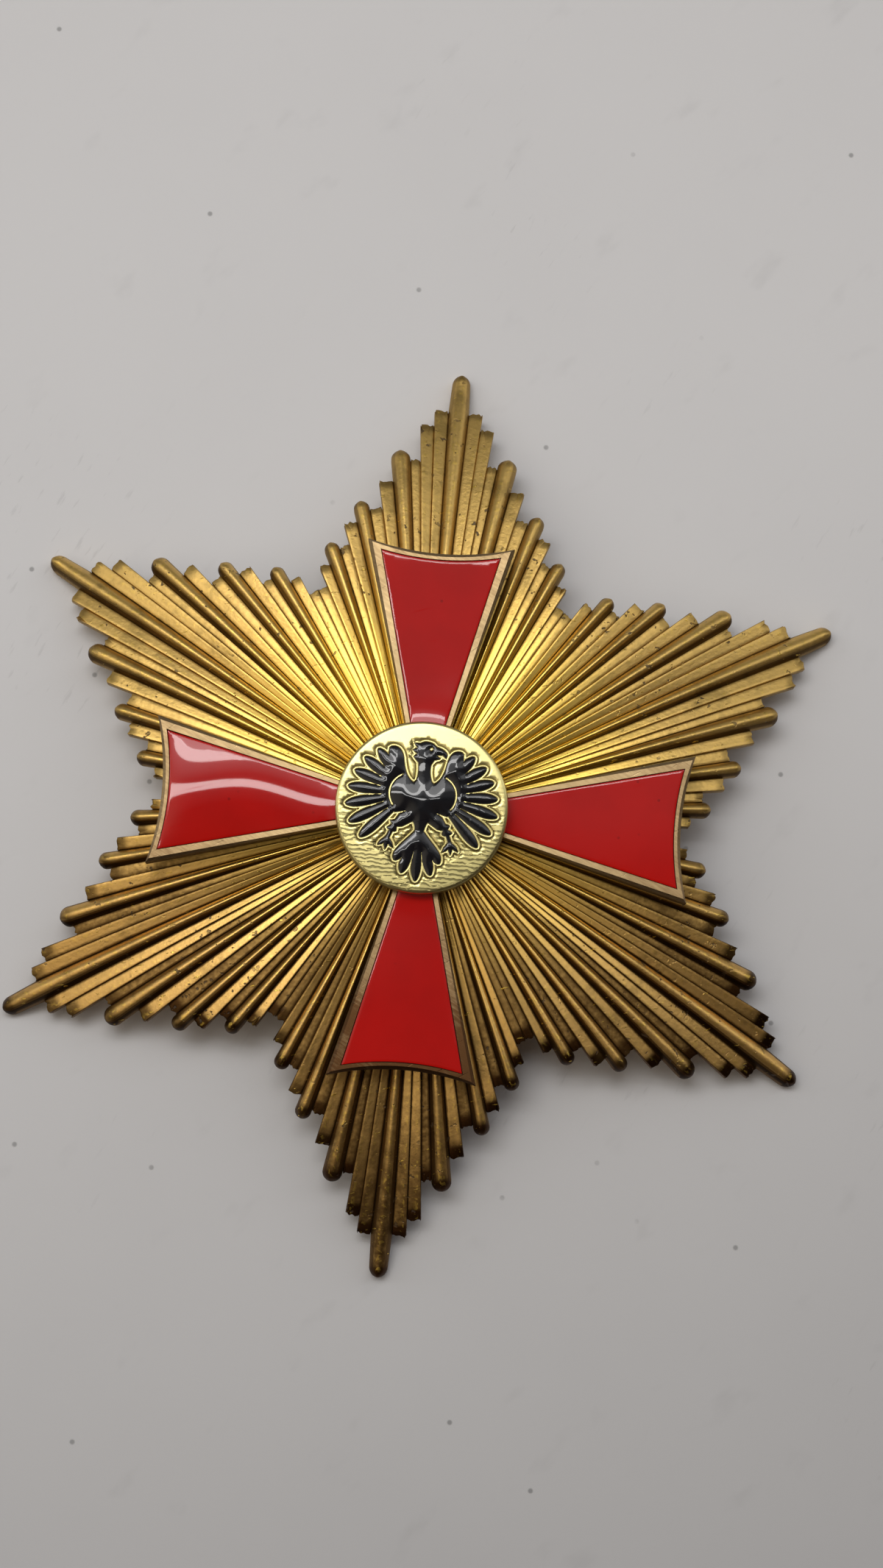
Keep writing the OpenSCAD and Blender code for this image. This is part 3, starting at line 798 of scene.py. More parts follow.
class StarMesh:
    """The star as one closed mesh: ridged above, smooth and hollow below. In it, k is a ray's
    number, u a place across the ray from 0 to 1, h a share of its height and r a radius. A row
    is a list of (number of a point, radius) pairs."""

    def __init__(self, sizes):
        self.reach = mm(sizes.reach)
        self.rise, self.plate = mm(sizes.dome_rise), mm(sizes.plate)
        self.ridge, self.seat = mm(sizes.ridge), mm(sizes.seat)
        self.foot = self.reach * (1 - math.sin(math.radians(HALF_POINT[0][1])))
        start = RAY_START * self.reach
        count = round((self.reach - start) / mm(sizes.ring_step))
        self.rings = [start + (self.reach - start) * i / count for i in range(count)]
        self.rays = self.make_rays()
        self.points, self.faces, self.groove, self.edge = [], [], [], []
        chance = random.Random(HEIGHT_SEED)
        self.heights = [1 + sizes.unevenness * chance.uniform(-1, 1) for _ in self.rays]
        self.waves = [(chance.uniform(*PHASES), chance.uniform(*PITCHES)) for _ in self.rays]
        self.lines = [self.line(k) for k in range(len(self.rays))]

    def make_rays(self):
        rays = []
        for point in range(POINTS):
            axis, near, half = 90 + point * 360 / POINTS, HALF_POINT[0][1], []
            for kind, width, share in HALF_POINT[1:]:
                half.append((kind, near, near + width, share * self.reach))
                near += width
            rays += [Ray(kind, axis - b, axis - a, r, -1) for kind, a, b, r in reversed(half)]
            long_ray = Ray(FINGER, axis - HALF_POINT[0][1], axis + HALF_POINT[0][1],
                           self.reach, 0)
            after = [Ray(kind, axis + a, axis + b, r, 1) for kind, a, b, r in half]
            long_ray.free = after[0].straight
            rays += [long_ray, *after]
        return rays

    def ray(self, k):
        """Ray k, counted on round the star."""
        return self.rays[k % len(self.rays)]

    def back(self, r):
        """Height of the hollow back."""
        return self.rise * max(0.0, 1 - (r / self.foot) ** DOME_POWER)

    def fade(self, r):
        """Share of their full height that the rays have at this radius."""
        return min(1.0, max(RAY_LEAST, r / (RAY_FULL * self.reach)))

    def top(self, k, r, share):
        """Height of the upper side at the share of ray k's height."""
        phase, pitch = self.waves[k]
        wave = 1 + WAVE * math.sin(phase + pitch * r)
        return (self.back(r) + self.plate
                + self.ridge * self.fade(r) * share * self.heights[k] * wave)

    def between(self, k):
        """Height share and darkness of the line before ray k."""
        return LINES[tuple(sorted((self.ray(k - 1).kind, self.ray(k).kind)))]

    def darkness(self, k, u, h, r):
        """Darkness on ray k. Its two grooves are as wide at every radius."""
        ray = self.ray(k)
        width = math.radians(ray.last - ray.first) * r
        own = 1 - h / CLEAN_HEIGHT[ray.kind] if ray.flat else ray.flank(u)
        return max(own, self.between(k)[1] * (1 - u * width / GROOVE),
                   self.between(k + 1)[1] * (1 - (1 - u) * width / GROOVE))

    def add(self, r, degrees, z, groove, short=FAR):
        """A point, as (number, radius). short is how far it lies from its ray's end."""
        a = math.radians(degrees)
        self.points.append((r * math.cos(a), r * math.sin(a), z))
        self.groove.append(groove)
        self.edge.append(max(0.0, 1 - short / END_DARK))
        return len(self.points) - 1, r

    def radii(self, *ends):
        """The rings up to the last end, with the ends among them."""
        rings = [r for r in self.rings
                 if r < max(ends) - RING_GAP and all(abs(r - e) > RING_GAP for e in ends)]
        return sorted(rings + sorted(set(ends)))

    def line(self, k):
        """The line in the groove before ray k, above and below, as two rows."""
        before, own = self.ray(k - 1), self.ray(k)
        ends = sorted({before.straight, own.straight})
        if len(ends) == 2 and ends[1] - ends[0] < SAME:
            ends = ends[:1]
        share, dark = self.between(k)
        upper, lower = [], []
        for r in self.radii(*ends):
            a = before.angle(1, r) if before.side == 0 else own.angle(0, r)
            z = self.back(r) + self.plate + self.ridge * self.fade(r) * share
            upper.append(self.add(r, a, z, dark))
            under = WALL_DARK if r > ends[0] - SAME else 0.0
            lower.append(self.add(r, a, self.back(r), under))
        return upper, lower

    def zip_rows(self, a, b):
        """Faces between two rows."""
        i = j = 0
        while i + 1 < len(a) or j + 1 < len(b):
            next_a = a[i + 1][1] if i + 1 < len(a) else math.inf
            next_b = b[j + 1][1] if j + 1 < len(b) else math.inf
            if abs(next_a - next_b) < SAME:
                face = (a[i][0], a[i + 1][0], b[j + 1][0], b[j][0])
                i, j = i + 1, j + 1
            elif next_a < next_b:
                face = (a[i][0], a[i + 1][0], b[j][0])
                i += 1
            else:
                face = (a[i][0], b[j + 1][0], b[j][0])
                j += 1
            face = tuple(dict.fromkeys(face))
            if len(face) > 2:
                self.faces.append(face)

    def column(self, k, u, h, chance):
        """A row along ray k, at the place u across it."""
        ray = self.ray(k)
        radii = self.radii(ray.straight)
        if ray.flat:
            tip = ray.straight + CORNER * (1 - abs(2 * u - 1) ** CORNER_POWER)
            tip += RAGGED * chance.uniform(-1, 1)
            radii = [r for r in radii if r < ray.straight - BROW - BROW_ROOM]
            radii += [tip - BROW, tip]
        row = []
        for r in radii:
            worn = ray.flat and r == radii[-1]
            z = self.top(k, r, h * BROW_DROP if worn else h)
            row.append(self.add(r, ray.angle(u, r), z, self.darkness(k, u, h, r), ray.end - r))
        return row

    def rounded_end(self, k):
        """Rows of a rounded ray's end, above and for the back's two sides."""
        ray = self.ray(k)
        columns = ((0, self.between(k)[0]), *ray.columns, (1, self.between(k + 1)[0]))
        rows, sides = [[] for _ in columns], ([], [])
        for step in range(1, END_STEPS):
            a = math.pi / 2 * step / END_STEPS
            r, width = ray.straight + (ray.end - ray.straight) * math.sin(a), math.cos(a)
            height = NOSE_SHARE + (1 - NOSE_SHARE) * width
            for row, (u, h) in zip(rows, columns):
                at = ray.angle(0.5 + (u - 0.5) * width, ray.straight)
                dark = max(ray.flank(u), ray.nose_dark * (1 - width))
                row.append(self.add(r, at, self.top(k, r, h * height), dark, ray.end - r))
            for u, row in enumerate(sides):
                at = ray.angle(0.5 + (u - 0.5) * width, ray.straight)
                row.append(self.add(r, at, self.back(r), WALL_DARK))
        middle = (ray.first + ray.last) / 2
        nose = self.add(ray.end, middle, self.top(k, ray.end, NOSE_SHARE), ray.nose_dark)
        under = self.add(ray.end, middle, self.back(ray.end), WALL_DARK)
        for row in rows:
            row.append(nose)
        for row in sides:
            row.append(under)
        return rows, sides

    def flat_end(self, ray, rows, lowers):
        """The end wall of a flat ray, and the strip of the back that meets it."""
        under = [lowers[0][-1][0]]
        for row, (u, _) in zip(rows[1:-1], ray.columns):
            r = row[-1][1]
            under.append(self.add(r, ray.angle(u, r), self.back(r), WALL_DARK)[0])
        under.append(lowers[1][-1][0])
        self.zip_rows([(row[-1][0], i) for i, row in enumerate(rows)],
                      [(n, i) for i, n in enumerate(under)])
        self.faces.append(tuple(under))

    def side_wall(self, k, beside, upper, lower):
        """The side wall of ray k beyond the end of the ray beside it."""
        from_here = min(self.ray(beside).straight, self.ray(k).straight) - SAME
        self.zip_rows(*([p for p in row if p[1] > from_here] for row in (upper, lower)))

    def cover(self, k, chance):
        """Ray k's upper side, end and walls, and its part of the back. Gives the upper rows."""
        ray = self.ray(k)
        pair = self.lines[k], self.lines[(k + 1) % len(self.rays)]
        uppers, lowers = ([[p for p in line[level] if p[1] < ray.straight + SAME]
                           for line in pair] for level in (0, 1))
        rows = [self.column(k, u, h, chance) for u, h in ray.columns]
        rows = [uppers[0], *rows, uppers[1]]
        if not ray.flat:
            above, below = self.rounded_end(k)
            rows = [row + more for row, more in zip(rows, above)]
            lowers = [row + more for row, more in zip(lowers, below)]
        for a, b in zip(rows, rows[1:]):
            self.zip_rows(a, b)
        self.zip_rows(*lowers)
        self.side_wall(k, k - 1, rows[0], lowers[0])
        self.side_wall(k, k + 1, rows[-1], lowers[1])
        if ray.flat:
            self.flat_end(ray, rows, lowers)
        return rows

    def build(self):
        chance, roots = random.Random(TIP_SEED), []
        for k in range(len(self.rays)):
            rows = self.cover(k, chance)
            roots += [(row[0][0], k + i / (len(rows) - 1)) for i, row in enumerate(rows[:-1])]
        self.close_middle(roots)
        return self

    def close_middle(self, roots):
        """The raised seat on top and the flat middle of the back."""
        count, seat_z = len(self.rays), foot_of("cross_frame") - SEAT_GAP
        ring = [self.add(self.seat, ray.first, seat_z, SEAT_DARK)[0] for ray in self.rays]
        self.zip_rows([(n, k) for k, n in enumerate(ring)] + [(ring[0], count)],
                      roots + [(roots[0][0], count)])
        self.faces.append(tuple(ring))
        self.faces.append(tuple(lower[0][0] for _, lower in self.lines))


# The cross

ARMS = (("top", 0), ("left", 90), ("bottom", 180), ("right", 270))
# The hub's radius is this much less than the medallion's, and an arm's root, where its widths
# begin, lies this far outside the medallion
HUB_INSET = 0.6
ROOT_OUT = 1.0
# Bevel of an arm's end as a share of the bevel beside it, and bevel of the hub
TIP_BEVEL_SHARE = 0.9
HUB_BEVEL = 0.1
# Mesh: gap between points along an arm, steps of its hollow end and of the hub's arcs
ARM_STEP = 0.8
END_ARC = 26
HUB_ARC = 13
# Worn width of the edges
LIP = 0.05
# Darkness of the bevel's foot, of the edge below it and of the underside, which is painted
# shade, and of a cell's upper edge and floor, which are dark joints
BEVEL_DARK = 0.15
RIM_DARK = 0.55
UNDER_DARK = 0.8
CELL_DARK = 0.9
FLOOR_DARK = 1.0
# The enamel's end curves in by this share of the arm's end
CELL_SAG_SHARE = 0.65
# Gap between the enamel and the metal
SEAM = 0.04
# Mesh of the enamel: gap between points at its edge and within, free strip along the edge,
# insets of the rows in that strip, and gap behind the last one
RIM_STEP = 0.4
FIELD_STEP = 0.42
FIELD_INSET = 0.18
RIM_INSETS = (0.05, 0.13, 0.28)
RIM_ROOM = 0.15
# The enamel's edge lies this far below the band, and its rim rises by this over this width
EDGE_DROP = 0.11
RIM_RISE = 0.03
RIM_WIDTH = 0.13
# The dome of an enamel that swells this much ends softly over this length
FULL_CROWN = 0.4
SOFT_END = 1.4
# Height share of the dome where an arm is narrow, how far the dome leans from side to side
# along the arm, and the phase of that, in turns
NARROW_DOME = 0.4
SWAY = 0.25
SWAY_PHASE = 0.04
# The enamel climbs by this at the medallion, and falls off over this length
CLIMB = 0.13
CLIMB_LENGTH = 0.7


class CrossPlan:
    """Outlines of the cross, in millimetres, with one arm pointing up."""

    def __init__(self, cross, medal):
        self.reach, self.sag = mm(cross.reach), mm(cross.end_sag)
        self.root, self.end = mm(cross.root_width), mm(cross.end_width)
        self.borders = mm(cross.root_border), mm(cross.end_border), mm(cross.tip_border)
        self.bevels = mm(cross.root_bevel), mm(cross.end_bevel)
        self.medal, self.tuck = mm(medal.radius), mm(cross.tuck)
        self.hub = self.medal - HUB_INSET
        self.root_y = self.medal + ROOT_OUT

    def along(self, y):
        """Share of the way from an arm's root to its end."""
        return (y - self.root_y) / (self.reach - self.root_y)

    def arm_half(self, y, inset=0.0):
        bevel = self.bevels[0] + (self.bevels[1] - self.bevels[0]) * self.along(y)
        return (self.root + (self.end - self.root) * self.along(y)) / 2 - inset * bevel

    def cell_half(self, y):
        root, end, _ = self.borders
        return self.arm_half(y) - root - (end - root) * self.along(y)

    def end_curve(self, half, y, sag):
        """The hollow end, from left to right."""
        radius = (half * half + sag * sag) / (2 * sag)
        wide = math.asin(half / radius)
        return [(radius * math.sin(t), y + radius - sag - radius * math.cos(t))
                for t in np.linspace(-wide, wide, END_ARC + 1)]

    def outline(self, inset):
        """The whole cross. inset 1 is the inner edge of the bevel."""
        y = self.reach - inset * self.bevels[1] * TIP_BEVEL_SHARE
        hub = self.hub - inset * HUB_BEVEL
        foot = math.sqrt(hub * hub - self.arm_half(hub, inset) ** 2)
        rises = np.linspace(foot, y, round((self.reach - foot) / ARM_STEP) + 1)[:-1]
        left = [(-self.arm_half(v, inset), v) for v in rises]
        right = [(self.arm_half(v, inset), v) for v in rises[::-1]]
        first = math.degrees(math.atan2(foot, self.arm_half(foot, inset)))
        quarter = (left + self.end_curve(self.arm_half(y, inset), y, self.sag) + right
                   + arc((0, 0), hub, first, 90 - first, HUB_ARC)[1:-1])
        return np.concatenate([turned(quarter, -90 * turn) for turn in range(4)])

    def cell(self, shrink=0.0):
        """The cell of the arm that points up, anticlockwise from its left foot."""
        foot, sag = self.medal - self.tuck + shrink, CELL_SAG_SHARE * self.sag
        end = self.reach - self.borders[2] - (1 - CELL_SAG_SHARE) * self.sag - shrink
        curve = self.end_curve(self.cell_half(end) - shrink, end, sag)[::-1]
        rises = np.linspace(foot, end, round((end - foot) / ARM_STEP) + 1)
        right = [(self.cell_half(v) - shrink, v) for v in rises[:-1]]
        left = [(-self.cell_half(v) + shrink, v) for v in rises[-2::-1]]
        return np.array(right + curve + left)


def cross_mesh(cross, plan):
    """The cross's frame: flat band, outer bevel, cells, and its underside."""
    low, high = foot_of("cross_frame"), top_of("cross_frame")
    outer = plan.outline(0)
    loops = [plan.outline(1)] + [turned(plan.cell(-LIP), degrees) for _, degrees in ARMS]
    relief = Relief(loops, [], lambda c: inside(c, loops))
    relief.lift(np.full(len(relief.flat), high))
    row, bevel_z = relief.rows[0], high - mm(cross.bevel_drop)
    for z, dark in ((bevel_z, BEVEL_DARK), (bevel_z - LIP, RIM_DARK), (low, UNDER_DARK)):
        row = relief.wall(row, outer, z, dark)
    relief.close(row)
    for (_, degrees), row in zip(ARMS, relief.rows[1:]):
        cell = turned(plan.cell(), degrees)
        row = relief.wall(row, cell, high - LIP, CELL_DARK)
        relief.close(relief.wall(row, cell, high - mm(cross.cell), FLOOR_DARK))
    return turned(relief.points, math.degrees(cross.turn)), relief.faces, relief.dark


def enamel_rise(plan, flat, gap, crown):
    """Height of the enamel above its edge. gap is how far each place lies inside the edge."""
    x, y = flat[:, 0], flat[:, 1]
    half, most = plan.cell_half(y), plan.cell_half(y.max())
    least = half / most
    dome = NARROW_DOME + (1 - NARROW_DOME) * least ** 2 - np.clip(np.abs(x) / most, 0, least) ** 2
    dome *= 1 - min(1.0, crown / FULL_CROWN) * np.exp((y - y.max()) / SOFT_END)
    dome -= SWAY * (x / most) * np.cos(2 * np.pi * (plan.along(y) + SWAY_PHASE))
    rim = RIM_RISE * np.clip(gap / RIM_WIDTH, 0, 1) ** 0.5
    beyond = np.maximum(0, np.hypot(x, y) - plan.medal)
    return rim + crown * dome + CLIMB * np.exp(-beyond / CLIMB_LENGTH)


def enamel_mesh(cross, plan, degrees, crown):
    """One arm's enamel: swollen in the middle, drawn down at its edges."""
    high = top_of("cross_frame")
    loop = dense(plan.cell(SEAM), RIM_STEP)
    x_reach, y_low, y_high = np.abs(loop[:, 0]).max(), loop[:, 1].min(), loop[:, 1].max()
    rims = [dense(plan.cell(SEAM + inset), RIM_STEP) for inset in RIM_INSETS]
    field = hexagons(x_reach, y_low, y_high, FIELD_STEP)
    field = field[inside(field, [loop]) & (distance(field, [loop]) > FIELD_INSET)]
    field = field[distance(field, rims[-1:]) > RIM_ROOM]
    relief = Relief([loop], np.concatenate(rims + [field]), lambda c: inside(c, [loop]))
    rise = enamel_rise(plan, relief.flat, distance(relief.flat, [loop]), crown)
    relief.lift(high - EDGE_DROP + rise)
    relief.close(relief.wall(relief.rows[0], loop, high - mm(cross.cell) + SEAM))
    return turned(relief.points, math.degrees(cross.turn) + degrees), relief.faces


# The eagle, in shares of the reach of its wings

SHOULDER = (0.17, 0.16)
# Direction of a wing feather in degrees, share of the way to the circle that the wings reach
WING = ((50, 0.94), (34, 0.99), (18, 1.00), (2, 1.00), (-14, 1.00), (-30, 0.97), (-46, 0.90))
# Height of a tail feather's root, direction in degrees, length
TAIL = ((-0.22, -90, 0.76), (-0.25, -73, 0.67), (-0.28, -56, 0.54))
# Half width of a feather at shares of its length
VANE = ((0, 0.24), (0.15, 0.40), (0.3, 0.55), (0.43, 0.71), (0.55, 0.86), (0.64, 0.95),
        (0.72, 1.0), (0.79, 0.985), (0.84, 0.94), (0.89, 0.82), (0.93, 0.66), (0.965, 0.46),
        (0.985, 0.30))
WING_HALF = 0.066
TAIL_HALF = 0.064
# A gold line cut round the shoulder: radius, directions of its ends, width
SHOULDER_LINE = (0.27, -40, 66, 0.024)
ANKLE = (0.412, -0.455)
TOES = (-126, -82, -38)
EYE = (0.06, 0.765)
EYE_RADIUS = 0.024


def bend(a, b, c, steps=9):
    """Points along a curve from a to c that is drawn towards b."""
    a, b, c = (np.array(p, float) for p in (a, b, c))
    return [tuple((1 - t) ** 2 * a + 2 * t * (1 - t) * b + t * t * c)
            for t in np.linspace(0, 1, steps + 1)]


def ribbon(centre, radius, first, last, width):
    """A curved gold line that is left open in the enamel."""
    return (arc(centre, radius + width / 2, first, last)
            + arc(centre, radius - width / 2, last, first))


def moved(points, place):
    return [(x + place[0], y + place[1]) for x, y in points]


def feather(root, degrees, size, half):
    upper = [(v * size, half * w) for v, w in VANE]
    lower = [(v * size, -half * w) for v, w in reversed(VANE)]
    return moved(turned(upper + [(size, 0.0)] + lower, degrees), root)


def way_out(start, degrees):
    """From a point to the circle of radius 1, in this direction."""
    a = math.radians(degrees)
    along = start[0] * math.cos(a) + start[1] * math.sin(a)
    return math.sqrt(along * along - start[0] ** 2 - start[1] ** 2 + 1) - along


def eagle_half():
    """The filled shapes of half an eagle: wing, body, leg, feathers and toes."""
    wing_arm = (bend((0.04, 0.28), (0.22, 0.30), (0.27, 0.52))
                + bend((0.29, 0.62), (0.33, 0.79), (0.46, 0.76))
                + bend((0.49, 0.74), (0.49, 0.64), (0.50, 0.58))
                + bend((0.56, 0.40), (0.60, 0.12), (0.44, -0.06))
                + bend((0.34, -0.10), (0.20, -0.06), (0.04, -0.06)))
    body = ([(0, 0.40), (0.08, 0.40)] + bend((0.10, 0.34), (0.24, 0.22), (0.19, 0.00))
            + bend((0.17, -0.12), (0.07, -0.20), (0.06, -0.32)) + [(0, -0.34)])
    leg = [(0.12, -0.02), (0.28, -0.12), (0.33, -0.20), (0.39, -0.22), (0.37, -0.27),
           (0.43, -0.31), (0.395, -0.345), (0.435, -0.45), (0.39, -0.46), (0.35, -0.36),
           (0.30, -0.35), (0.30, -0.29), (0.23, -0.28), (0.10, -0.20)]
    toe = [(-0.02, -0.030), (0.09, -0.026), (0.155, -0.004), (0.09, 0.026), (-0.02, 0.030)]
    half = [wing_arm, body, leg]
    half += [feather(SHOULDER, a, share * way_out(SHOULDER, a), WING_HALF) for a, share in WING]
    half += [feather((0, y), a, size, TAIL_HALF) for y, a, size in TAIL]
    return half + [moved(turned(toe, a), ANKLE) for a in TOES]


def eagle_head():
    """The head, which looks to the right, with its crest on the left."""
    return (bend((0.10, 0.34), (0.06, 0.44), (0.075, 0.56))
            + [(0.11, 0.625), (0.19, 0.65), (0.13, 0.695), (0.215, 0.70), (0.262, 0.655)]
            + bend((0.275, 0.70), (0.265, 0.77), (0.13, 0.80), 6)
            + bend((0.08, 0.84), (-0.02, 0.88), (-0.09, 0.83), 6)
            + [(-0.17, 0.83), (-0.125, 0.765), (-0.185, 0.74), (-0.12, 0.69), (-0.165, 0.65)]
            + bend((-0.10, 0.58), (-0.07, 0.44), (-0.10, 0.34)))


def with_mirror(shapes):
    return shapes + [[(-x, y) for x, y in shape] for shape in shapes]


def eagle_loops(reach):
    """The eagle's outline as closed loops, in millimetres."""
    solid = with_mirror(eagle_half()) + [eagle_head()]
    cuts = with_mirror([ribbon(SHOULDER, *SHOULDER_LINE)]) + [arc(EYE, EYE_RADIUS, 0, 345, 15)]
    solid, cuts = ([np.array(shape) * reach for shape in shapes] for shapes in (solid, cuts))

    def belongs(centres):
        held = np.zeros(len(centres), bool)
        for shape in solid:
            held |= inside(centres, [shape])
        for cut in cuts:
            held &= ~inside(centres, [cut])
        return held

    places, faces, _ = tile(solid + cuts, [], belongs)
    return [parted(places[loop]) for loop in rims_of(places, faces) if len(loop) > 3]


def rims_of(places, faces):
    """The closed rims of a tiled area, as lists of its points' numbers."""
    ways = {}
    for a, b, c in faces:
        (ax, ay), (bx, by), (cx, cy) = places[[a, b, c]]
        left = (bx - ax) * (cy - ay) - (by - ay) * (cx - ax) > 0
        corners = (a, b, c) if left else (a, c, b)
        ways.update(dict.fromkeys(zip(corners, corners[1:] + corners[:1])))
    onward = {}
    for a, b in ways:
        if (b, a) not in ways:
            onward.setdefault(a, []).append(b)
    rims = []
    while onward:
        rim, at = [], next(iter(onward))
        while at in onward:
            rim.append(at)
            step = onward[at].pop()
            if not onward[at]:
                del onward[at]
            at = step
        rims.append(rim)
    return rims


def parted(loop):
    """A loop without points that lie almost on each other."""
    kept = [loop[0]]
    for p in loop[1:]:
        if np.linalg.norm(p - kept[-1]) > LEAST_STEP:
            kept.append(p)
    if np.linalg.norm(kept[0] - kept[-1]) <= LEAST_STEP:
        kept.pop()
    return np.array(kept)


def beside(loops, gap):
    """Points beside the loops at this distance: outside them if it is positive."""
    made = []
    for loop in loops:
        before, after = loop - np.roll(loop, 1, axis=0), np.roll(loop, -1, axis=0) - loop
        way = before / np.linalg.norm(before, axis=1)[:, None]
        way = way + after / np.linalg.norm(after, axis=1)[:, None]
        way /= np.maximum(np.linalg.norm(way, axis=1), 1e-6)[:, None]
        made.append(loop + gap * np.stack([way[:, 1], -way[:, 0]], axis=1))
    made = np.concatenate(made)
    return made[distance(made, loops) > abs(gap) * 0.93]


# The medallion and the eagle's enamel, in millimetres

# Height of the medallion's face above its underside
FACE_HEIGHT = 1.6
RIM_POINTS = 192
EDGE_STEPS = 5
# BASE_DARK is painted shade at the medallion's foot
BASE_DARK = 0.7
# Section of the raised line, outwards from the cell: place across, height share
WIRE = ((0.0, 0.62), (0.12, 0.88), (0.35, 1.0), (0.65, 0.96), (0.88, 0.62), (1.0, 0.0))
# Dark furrow of painted shade beside the line: middle and half width as shares of its width,
# depth, darkness
FURROW_MIDDLE = 0.45
FURROW_HALF = 0.75
FURROW_DEPTH = 0.05
FURROW_DARK = 0.85
# Rows of points beside the cell, as shares of the line and of the furrow
LINE_ROWS = (0.14, 0.38, 0.65, 0.9, 1.0)
FURROW_ROWS = (0.35, 0.75, 1.2)
# Gap between points on the open face and on the enamel, and room beside their rows
FACE_STEP = 0.25
FACE_ROOM = 0.1
# Rows of points in the enamel, and the width of the strip that they fill
ENAMEL_ROWS = (0.05, 0.12, 0.22, 0.34)
ENAMEL_STRIP = 0.44
ENAMEL_STEP = 0.2
# The enamel lies this far above the cell's floor and the face, rises over the width of its
# shoulder, and swells more on the broad breast
LAYER = 0.02
SHOULDER_WIDTH = 0.22
BREAST = 1.8


def crowned_face(medal, flat, reach):
    """Height of the medallion's face at these places. Its swell ends at this reach."""
    swell = mm(medal.crown) * (1 - (np.hypot(flat[:, 0], flat[:, 1]) / reach) ** 2)
    return foot_of("medallion") + FACE_HEIGHT + swell


def face_points(loops, face_r, line, dark_line):
    """Points that carry the raised line, the furrow and the open face."""
    gaps = [line * share for share in LINE_ROWS] + [line + dark_line * share for share in FURROW_ROWS]
    field = hexagons(face_r, -face_r, face_r, FACE_STEP)
    field = field[distance(field, loops) > gaps[-1] + FACE_ROOM]
    loose = np.concatenate([beside(loops, gap) for gap in gaps] + [field])
    loose = loose[np.hypot(loose[:, 0], loose[:, 1]) < face_r - FACE_ROOM]
    return spread(loose[~inside(loose, loops)], LEAST_STEP)


def medal_mesh(medal, loops):
    """The medallion: rounded edge, crowned face, raised lines and the eagle's cell."""
    radius, edge, line, dark_line = (mm(size) for size in (medal.radius, medal.edge, medal.line,
                                                      medal.dark_line))
    low, face_r = foot_of("medallion"), radius - edge
    face_z = low + FACE_HEIGHT
    rim = np.array(arc((0, 0), face_r, 0, 360, RIM_POINTS)[:-1])
    relief = Relief([rim] + loops, face_points(loops, face_r, line, dark_line),
                    lambda c: inside(c, [rim]) & ~inside(c, loops))
    gap = distance(relief.flat, loops)
    furrow = 1 - np.abs(gap - line - dark_line * FURROW_MIDDLE) / (dark_line * FURROW_HALF)
    furrow = np.clip(furrow, 0, 1)
    across, height = zip(*WIRE)
    wire = np.interp(gap, np.array(across) * line, height)
    relief.lift(crowned_face(medal, relief.flat, face_r) + mm(medal.line_height) * wire
                - FURROW_DEPTH * furrow, FURROW_DARK * furrow)
    row = relief.rows[0]
    for a in np.linspace(0, math.pi / 2, EDGE_STEPS + 1)[1:]:
        out = (face_r + edge * math.sin(a)) / face_r
        row = relief.wall(row, rim * out, face_z - edge * (1 - math.cos(a)))
    relief.close(relief.wall(row, rim * (radius / face_r), low, BASE_DARK))
    floors = [relief.wall(row, loop, face_z - mm(medal.cell), 1.0)
              for row, loop in zip(relief.rows[1:], loops)]
    relief.close_between(loops, floors)
    ridge = np.ones(len(relief.points))
    ridge[:len(wire)] = np.clip(wire * 3, 0, 1)
    return relief.points, relief.faces, {"groove": relief.dark, "line": ridge}


def eagle_mesh(medal, loops):
    """The black enamel, swollen between the raised lines."""
    reach = mm(medal.eagle_reach)
    field = hexagons(reach, -reach, reach, ENAMEL_STEP)
    field = field[inside(field, loops)]
    field = field[distance(field, loops) > ENAMEL_STRIP]
    loose = np.concatenate([beside(loops, -gap) for gap in ENAMEL_ROWS])
    loose = spread(np.concatenate([loose[inside(loose, loops)], field]), LEAST_STEP)
    relief = Relief(loops, loose, lambda c: inside(c, loops))
    gap = distance(relief.flat, loops)
    swell = 1 - np.exp(-gap / SHOULDER_WIDTH) + BREAST * (1 - np.exp(-gap ** 2))
    relief.lift(crowned_face(medal, relief.flat, mm(medal.radius)) + LAYER
                + mm(medal.crown_enamel) * swell)
    floor_z = foot_of("medallion") + FACE_HEIGHT - mm(medal.cell) + LAYER
    floors = [relief.wall(row, loop, floor_z) for row, loop in zip(relief.rows, loops)]
    relief.close_between(loops, floors)
    return relief.points, relief.faces


# Operators

# The room is bright on one side, and dark on the other, behind the camera
BRIGHT_SIDE = (-0.15, 0.989, 0.0)
# Brightness of the room from its dark side, 0, to its bright one, 1
ROOM_GLOW = ((0.0, 0.026), (0.38, 0.036), (0.46, 0.075), (0.525, 0.076), (0.554, 0.19),
             (0.592, 0.22), (0.613, 0.64), (0.635, 1.0), (0.66, 0.86), (0.71, 0.47),
             (0.765, 0.18), (0.84, 0.11), (1.0, 0.10))
# The dark side's light is browner
DARK_TINT = (1.0, 0.80, 0.70)
# A pale wall high on the dark side's left
WEST_SIDE = (-0.51, -0.22, 0.83)
WEST_GLOW = (0.47, 0.41, 0.33)
LAMP_COLOUR = (1.0, 0.985, 0.965)
# Shares of the strip light's power that its two parts have
NEAR_STRIP = 1.16
FAR_STRIP = 0.70
# The table lies this far below the star's lowest points, in metres
TABLE_DROP = 2e-5
# The camera: its place in metres, and its turns about the axes in degrees
CAMERA_PLACE = (-0.000022, -0.033842, 0.313130)
CAMERA_TURN = (6.79582, -0.95832, 5.30474)
SENSOR_WIDTH = 36.0


